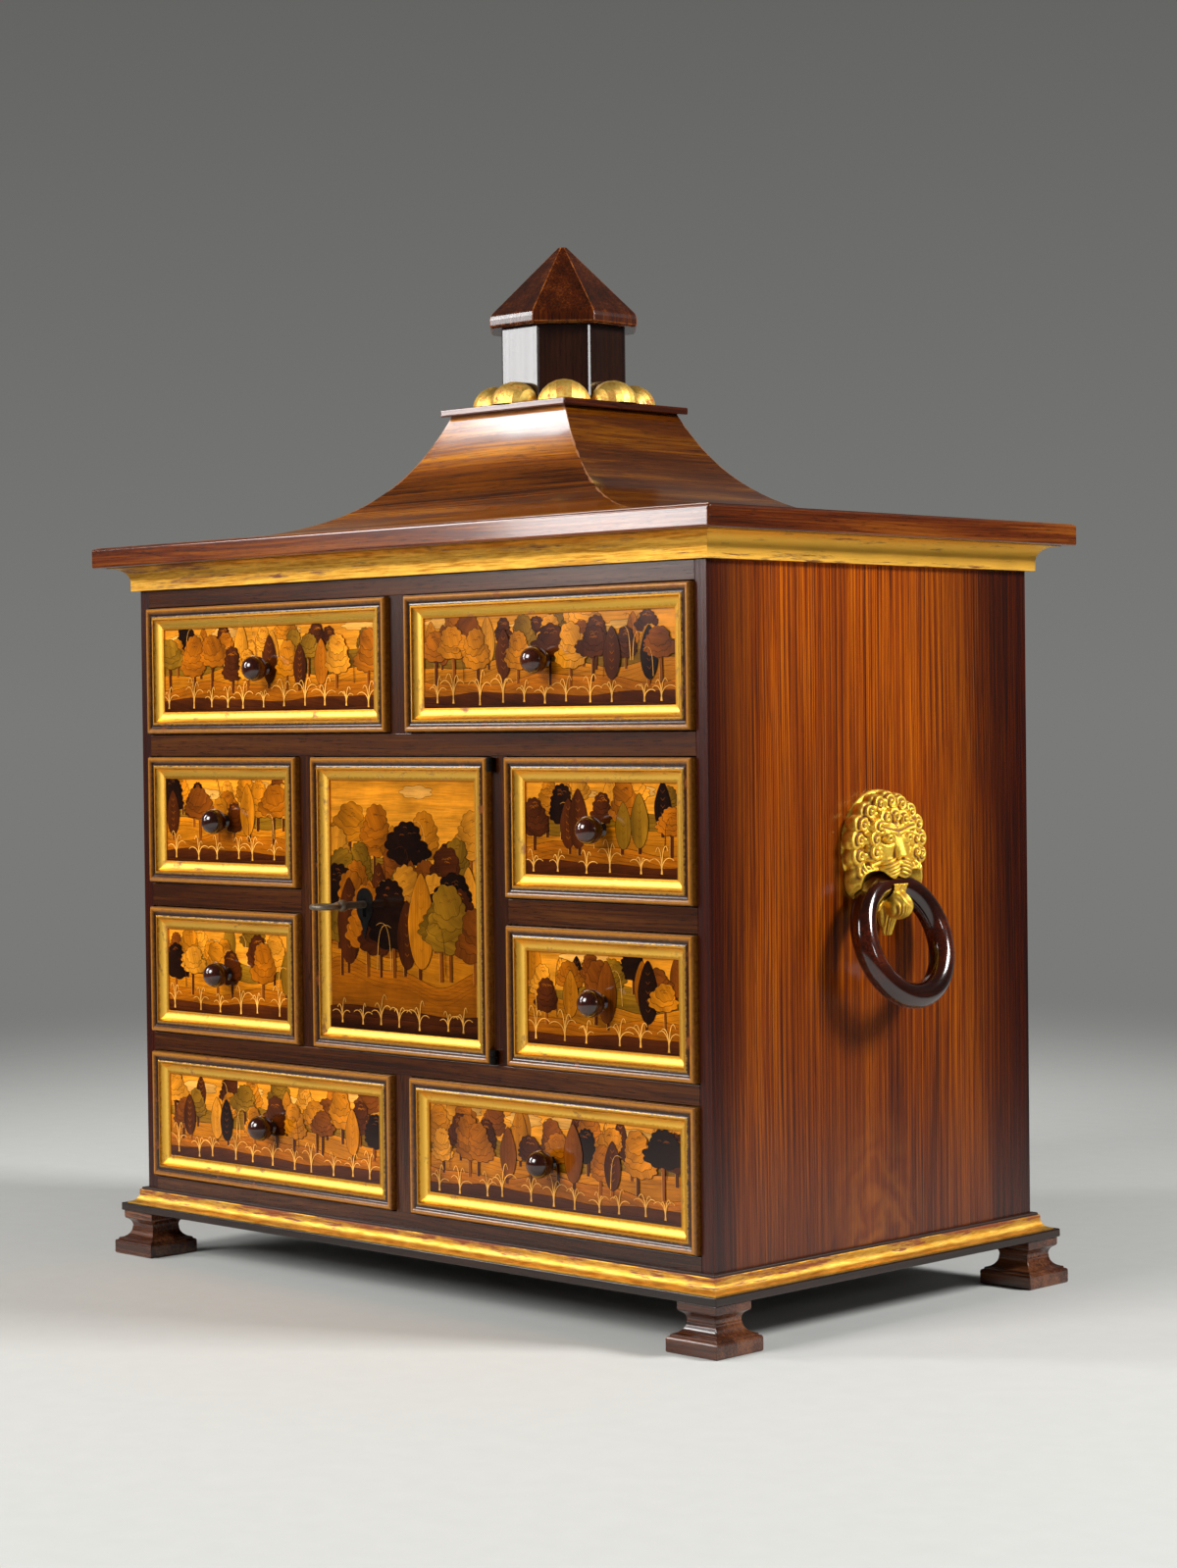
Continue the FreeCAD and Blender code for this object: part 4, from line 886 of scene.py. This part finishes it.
# Rows of mane curls: reach across and up from the middle, curl radius, count and first angle in degrees
CURL_ROWS = [(28.0, 25.7, 6.9, 13, -32), (18.6, 17.6, 5.8, 9, -12)]
# Single curls of the cheeks and jaw: across, up, radius
FACE_CURLS = [(18.9, 3.4, 8.2), (25.0, -2.5, 5.4), (14.7, -10.0, 6.2), (22.0, 10.5, 5.0)]
RING_RADIUS, RING_WIRE = 33.0, 7.5
RING_TILT, RING_SWING = math.radians(17.5), math.radians(75)
HINGE_OUT, HINGE_UP = 8.3, 249.3
CUT_DEPTH, VOXEL = 1.15 * MM, 0.52 * MM


def ring_distance(out, up, across):
    """How far each place is from the ring, wherever the ring stands on its swing."""
    nearest = np.full(len(out), 1e3)
    for swing in np.linspace(0, RING_SWING, 19):
        angle = RING_TILT + swing
        down_out, down_up = math.sin(angle), -math.cos(angle)
        along = (out - HINGE_OUT) * down_out + up * down_up - RING_RADIUS
        off_plane = (out - HINGE_OUT) * -down_up + up * down_out
        reach = np.hypot(along, across)
        nearest = np.minimum(nearest, np.hypot(reach - RING_RADIUS, off_plane) - RING_WIRE)
    return nearest


def rise(value, width):
    """From 0 to 1 while a value goes from 0 to a width."""
    return np.clip(value / width, 0, 1)


def furrows(phase):
    """Round ridges and hollows, one to each full turn of the phase, from 0 to 1."""
    return 0.5 - 0.5 * np.cos(phase)


def mane_curls():
    """The middle and radius of every curl of the mane, cheeks and jaw."""
    curls = []
    for reach_across, reach_up, radius, count, first in CURL_ROWS:
        for k in range(count):
            turn = math.radians(first + k * (180 - 2 * first) / (count - 1))
            curls.append((reach_across * math.cos(turn), MASK_MIDDLE[1] + reach_up * math.sin(turn), radius))
    for curl_across, curl_up, radius in FACE_CURLS:
        curls += [(curl_across, curl_up, radius), (-curl_across, curl_up, radius)]
    return curls


def carving_depth(across, up):
    """How deep the carver's cuts go at each place on the mask, from 0 on a ridge to 1 in a hollow."""
    side = np.abs(across)
    middle_across, middle_up = MASK_MIDDLE
    # Locks that run out from the face in a slow wave
    angle = np.arctan2(up - middle_up, across - middle_across)
    reach = np.hypot(across - middle_across, (up - middle_up) * 0.93)
    depth = furrows(34 * angle + 2.2 * np.sin(reach / 3.1)) * rise(reach - 11, 4) * 0.8

    def over(weight, cut):
        """Let another cut take over where its weight is high."""
        nonlocal depth
        depth = depth * (1 - weight) + cut * weight

    for number, (curl_across, curl_up, radius) in enumerate(mane_curls()):
        du, dv = across - curl_across, up - curl_up
        rho = np.hypot(du, dv)
        hand = 1 if curl_across >= 0 else -1
        over(rise(radius - rho, 1.2), furrows(2 * math.pi * rho / 3.0 - hand * np.arctan2(dv, du) + number))
    # Brow: three furrows that rise towards the temples, and a cleft between them
    brow = up - (29.0 + 0.26 * side - 0.004 * side ** 2)
    over(rise(16 - side, 2) * rise(4.8 - np.abs(brow), 1.2), furrows(2 * math.pi * brow / 3.2))
    over(rise(1.0 - side, 0.6) * rise(up - 27, 2) * rise(40 - up, 2), 0.9)
    # Eyes: a rim round the ball and a drilled pupil
    eye = np.hypot((side - 8.8) / 1.25, up - 26.2)
    over(rise(5.2 - eye, 1.0), np.clip(1 - np.abs(eye - 3.3) / 0.8, 0, 1))
    over(rise(1.3 - eye, 0.5), 1.0)
    # Nose: bare ridge, its wings and two nostrils
    over(rise(5.0 - side, 1.2) * rise(28 - up, 2) * rise(up - 12, 1.5), 0.0)
    wing = np.abs(side - (4.6 + 0.10 * (24 - up)))
    over(rise(0.9 - wing, 0.6) * rise(24 - up, 3) * rise(up - 12, 2), 0.9)
    nostril = np.hypot(side - 2.9, (up - 14.6) * 1.3)
    over(rise(1.7 - nostril, 0.7), 1.0)
    # Muzzle: rows of whisker cuts on the pads, and the lip over the mouth
    pad = np.hypot(side - 6.8, up - 9.4)
    over(rise(7.4 - pad, 1.5), 0.9 * furrows(2 * math.pi * (up + 0.35 * side) / 2.4))
    over(rise(0.8 - side, 0.5) * rise(12.5 - up, 2) * rise(up - 2, 2), 1.0)
    # Beard: long strands that draw together at the point
    strand = across / np.clip(0.32 + (up + 30) / 46, 0.3, 1.2)
    over(rise(-10 - up, 3) * rise(11 - side, 3), furrows(2 * math.pi * strand / 2.9 + 0.5 * np.sin(up / 2.5)))
    return depth


def carved_masks():
    """The lion masks carved over their CAD forms, which keep the ring's room clear."""
    bm = bmesh.new()
    bm.from_mesh(nodes["lion_masks"].data)
    bmesh.ops.remove_doubles(bm, verts=bm.verts, dist=SAME_PLACE)
    bmesh.ops.delete(bm, geom=[v for v in bm.verts if v.co.x < 0], context="VERTS")
    block = bpy.data.meshes.new("mask_block")
    bm.to_mesh(block)
    bm.free()
    maker = new_object("mask_maker", block)
    remesh = maker.modifiers.new("voxels", "REMESH")
    remesh.mode = "VOXEL"
    remesh.voxel_size = VOXEL
    relax = maker.modifiers.new("relax", "SMOOTH")
    relax.factor = 0.5
    relax.iterations = 5
    mesh = evaluated_mesh(maker)
    places, normals = np.empty(len(mesh.vertices) * 3), np.empty(len(mesh.vertices) * 3)
    mesh.vertices.foreach_get("co", places)
    mesh.vertices.foreach_get("normal", normals)
    places, normals = places.reshape(-1, 3), normals.reshape(-1, 3)
    out = (places[:, 0] - CASE_HIGH.x) / MM
    across = (places[:, 1] - CENTRE_Y) / MM
    up = places[:, 2] / MM - HINGE_UP
    free = rise(ring_distance(out, up, across) - 0.9, 1.6)
    outward = np.clip(normals[:, 0] * 1.6 + 0.25, 0, 1) * rise(out - 1.2, 1.5)
    depth = carving_depth(across, up) * free * outward
    places -= normals * (depth * CUT_DEPTH)[:, None]
    points, faces, hollows = [], [], []
    quads = [tuple(polygon.vertices) for polygon in mesh.polygons]
    for sign in (1, -1):
        start = len(points)
        turned = np.stack([
            sign * places[:, 0], CENTRE_Y + sign * (places[:, 1] - CENTRE_Y), places[:, 2],
        ], axis=1)
        points += turned.tolist()
        faces += [tuple(start + k for k in quad) for quad in quads]
        hollows += depth.tolist()
    piece = ordinary_mesh("carved_lion_masks", points, faces, smooth=True)
    hollow = piece.data.attributes.new("hollow", "FLOAT", "POINT")
    hollow.data.foreach_set("value", hollows)
    piece.data.materials.append(GOLD_MASKS)
    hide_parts("lion_masks")
    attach(piece, "case")


carved_masks()


def dark_iron(name, colours, roughness, metallic, specular):
    """Forged iron gone dark with oil and age: a soft broken sheen with small brown blooms."""
    material, tree, place = new_material(name)
    bloom = add(tree, "ShaderNodeTexNoise", {
        "Vector": place, "Scale": 1 / (3 * MM), "Detail": 5.0, "Roughness": 0.7,
    })
    tone = add(tree, "ShaderNodeValToRGB", [bloom], list(zip((0.35, 0.6, 0.75), colours)))
    rough = add(tree, "ShaderNodeMapRange", (bloom, 0.0, 1.0, roughness - 0.1, roughness + 0.2))
    finish_material(tree, {
        "Base Color": tone, "Metallic": metallic, "Roughness": rough, "Specular IOR Level": specular,
    }, bloom, 0.04 * MM)
    return material


IRON = dark_iron("dark_forged_iron", ("080605", "100C09", "1C130C"), 0.26, 0.0, 0.15)
KEY_IRON = dark_iron("rubbed_iron_key", ("5E5548", "7C7060", "584634"), 0.4, 0.6, 0.5)
for node in IRONWORK:
    dress(node, IRON)
dress("key", KEY_IRON)


# Floor, light and camera

def pale_stage(name, colour, solid, gone, squeeze):
    """A matt painted ground with the fine mottle of rolled paint, that fades into the backdrop far out.

    It reaches less far to the sides than behind the object, by the squeeze given.
    """
    material, tree, place = new_material(name)
    mottle = add(tree, "ShaderNodeTexNoise", {"Vector": place, "Scale": 60.0, "Detail": 3.0})
    tone = add(tree, "ShaderNodeMix", {0: mottle, 6: colour, 7: "D9DAD6"}, **MIXED)
    turned = add(tree, "ShaderNodeMapping", {"Vector": place, "Rotation": (0, 0, -AZIMUTH)})
    narrowed = add(tree, "ShaderNodeVectorMath", (turned, (squeeze, 1, 1)), operation="MULTIPLY")
    far = add(tree, "ShaderNodeVectorMath", [narrowed], out="Value", operation="LENGTH")
    there = add(tree, "ShaderNodeMapRange", (far, solid, gone, 1.0, 0.0), interpolation_type="SMOOTHSTEP")
    finish_material(tree, {"Base Color": tone, "Roughness": 0.7, "Alpha": there})
    return material


# The camera as the object's straight edges give it: turned, tipped and rolled by degrees, and its place
AZIMUTH, PITCH, ROLL = (math.radians(a) for a in (44.632, 1.1796, 0.6498))
CAMERA_PLACE, LENS, SENSOR = (1.4124, -1.4036, 0.3458), 72.91, 36
FLOOR_HALF = 6
corners = [(x * FLOOR_HALF, y * FLOOR_HALF, 0) for x, y in ((-1, -1), (1, -1), (1, 1), (-1, 1))]
floor = ordinary_mesh("floor", corners, [(0, 1, 2, 3)])
floor.data.materials.append(pale_stage("pale_floor", "D2D3CF", 0.8, 2.2, 1.7))


def softbox(name, where, aim, width, height, power):
    """A rectangular soft light that faces a point."""
    data = bpy.data.lights.new(name, "AREA")
    data.shape = "RECTANGLE"
    data.size = width
    data.size_y = height
    data.energy = power
    lamp = new_object(name, data)
    lamp.location = where
    lamp.rotation_euler = (Vector(aim) - Vector(where)).to_track_quat("-Z", "Y").to_euler()


MIDDLE = (0, 0, 0.32)
softbox("front_softbox", (-0.5, -2.8, 1.7), MIDDLE, 1.2, 1.2, 76)
softbox("right_softbox", (2.05, 1.0, 1.65), (0.2, 0, 0.3), 0.7, 0.7, 66)
softbox("roof_softbox", (-1.95, -1.6, 1.6), (-0.1, -0.1, 0.52), 0.4, 0.9, 24)
softbox("lantern_strip", (-2.0, -1.95, 0.98), (0, 0, 0.57), 0.3, 0.5, 5.2)
softbox("slab_strip", (-1.5, -1.95, 0.67), (0.2, -0.15, 0.45), 0.34, 0.2, 3.2)
softbox("arris_strip", (2.32, 0.03, 0.82), (0, 0, 0.57), 0.2, 0.26, 2.2)

world = bpy.data.worlds.new("plain_studio")
bpy.context.scene.world = world
world.use_nodes = True
sky_tree = world.node_tree
sky_tree.nodes.clear()
outlook = add(sky_tree, "ShaderNodeTexCoord", out="Generated")
ahead = (-math.sin(AZIMUTH), math.cos(AZIMUTH), 0)
behind = add(sky_tree, "ShaderNodeVectorMath", (outlook, ahead), out="Value", operation="DOT_PRODUCT")
behind = add(sky_tree, "ShaderNodeMapRange", (behind, 0.3, 0.9), interpolation_type="SMOOTHSTEP")
height = add(sky_tree, "ShaderNodeSeparateXYZ", [outlook], out="Z")
wall = add(sky_tree, "ShaderNodeValToRGB", [height], [(0.0, "7A7A78"), (0.24, "626260")])
sky = add(sky_tree, "ShaderNodeMix", {0: behind, 6: "434342", 7: wall}, **MIXED)
sky = add(sky_tree, "ShaderNodeBackground", {"Color": sky, "Strength": 1.0})
add(sky_tree, "ShaderNodeOutputWorld", {"Surface": sky}, out=None)

forward = Vector((
    -math.sin(AZIMUTH) * math.cos(PITCH), math.cos(AZIMUTH) * math.cos(PITCH), -math.sin(PITCH),
))
right = Vector((math.cos(AZIMUTH), math.sin(AZIMUTH), 0))
down = forward.cross(right)
image_right = math.cos(ROLL) * right + math.sin(ROLL) * down
image_down = -math.sin(ROLL) * right + math.cos(ROLL) * down
camera_data = bpy.data.cameras.new("camera")
camera_data.lens = LENS
camera_data.sensor_width = SENSOR
camera_data.sensor_fit = "AUTO"
camera = new_object("camera", camera_data)
turn = Matrix((image_right, -image_down, -forward)).transposed().to_4x4()
camera.matrix_world = Matrix.Translation(CAMERA_PLACE) @ turn
bpy.context.scene.camera = camera
bpy.context.scene.view_settings.view_transform = "Standard"
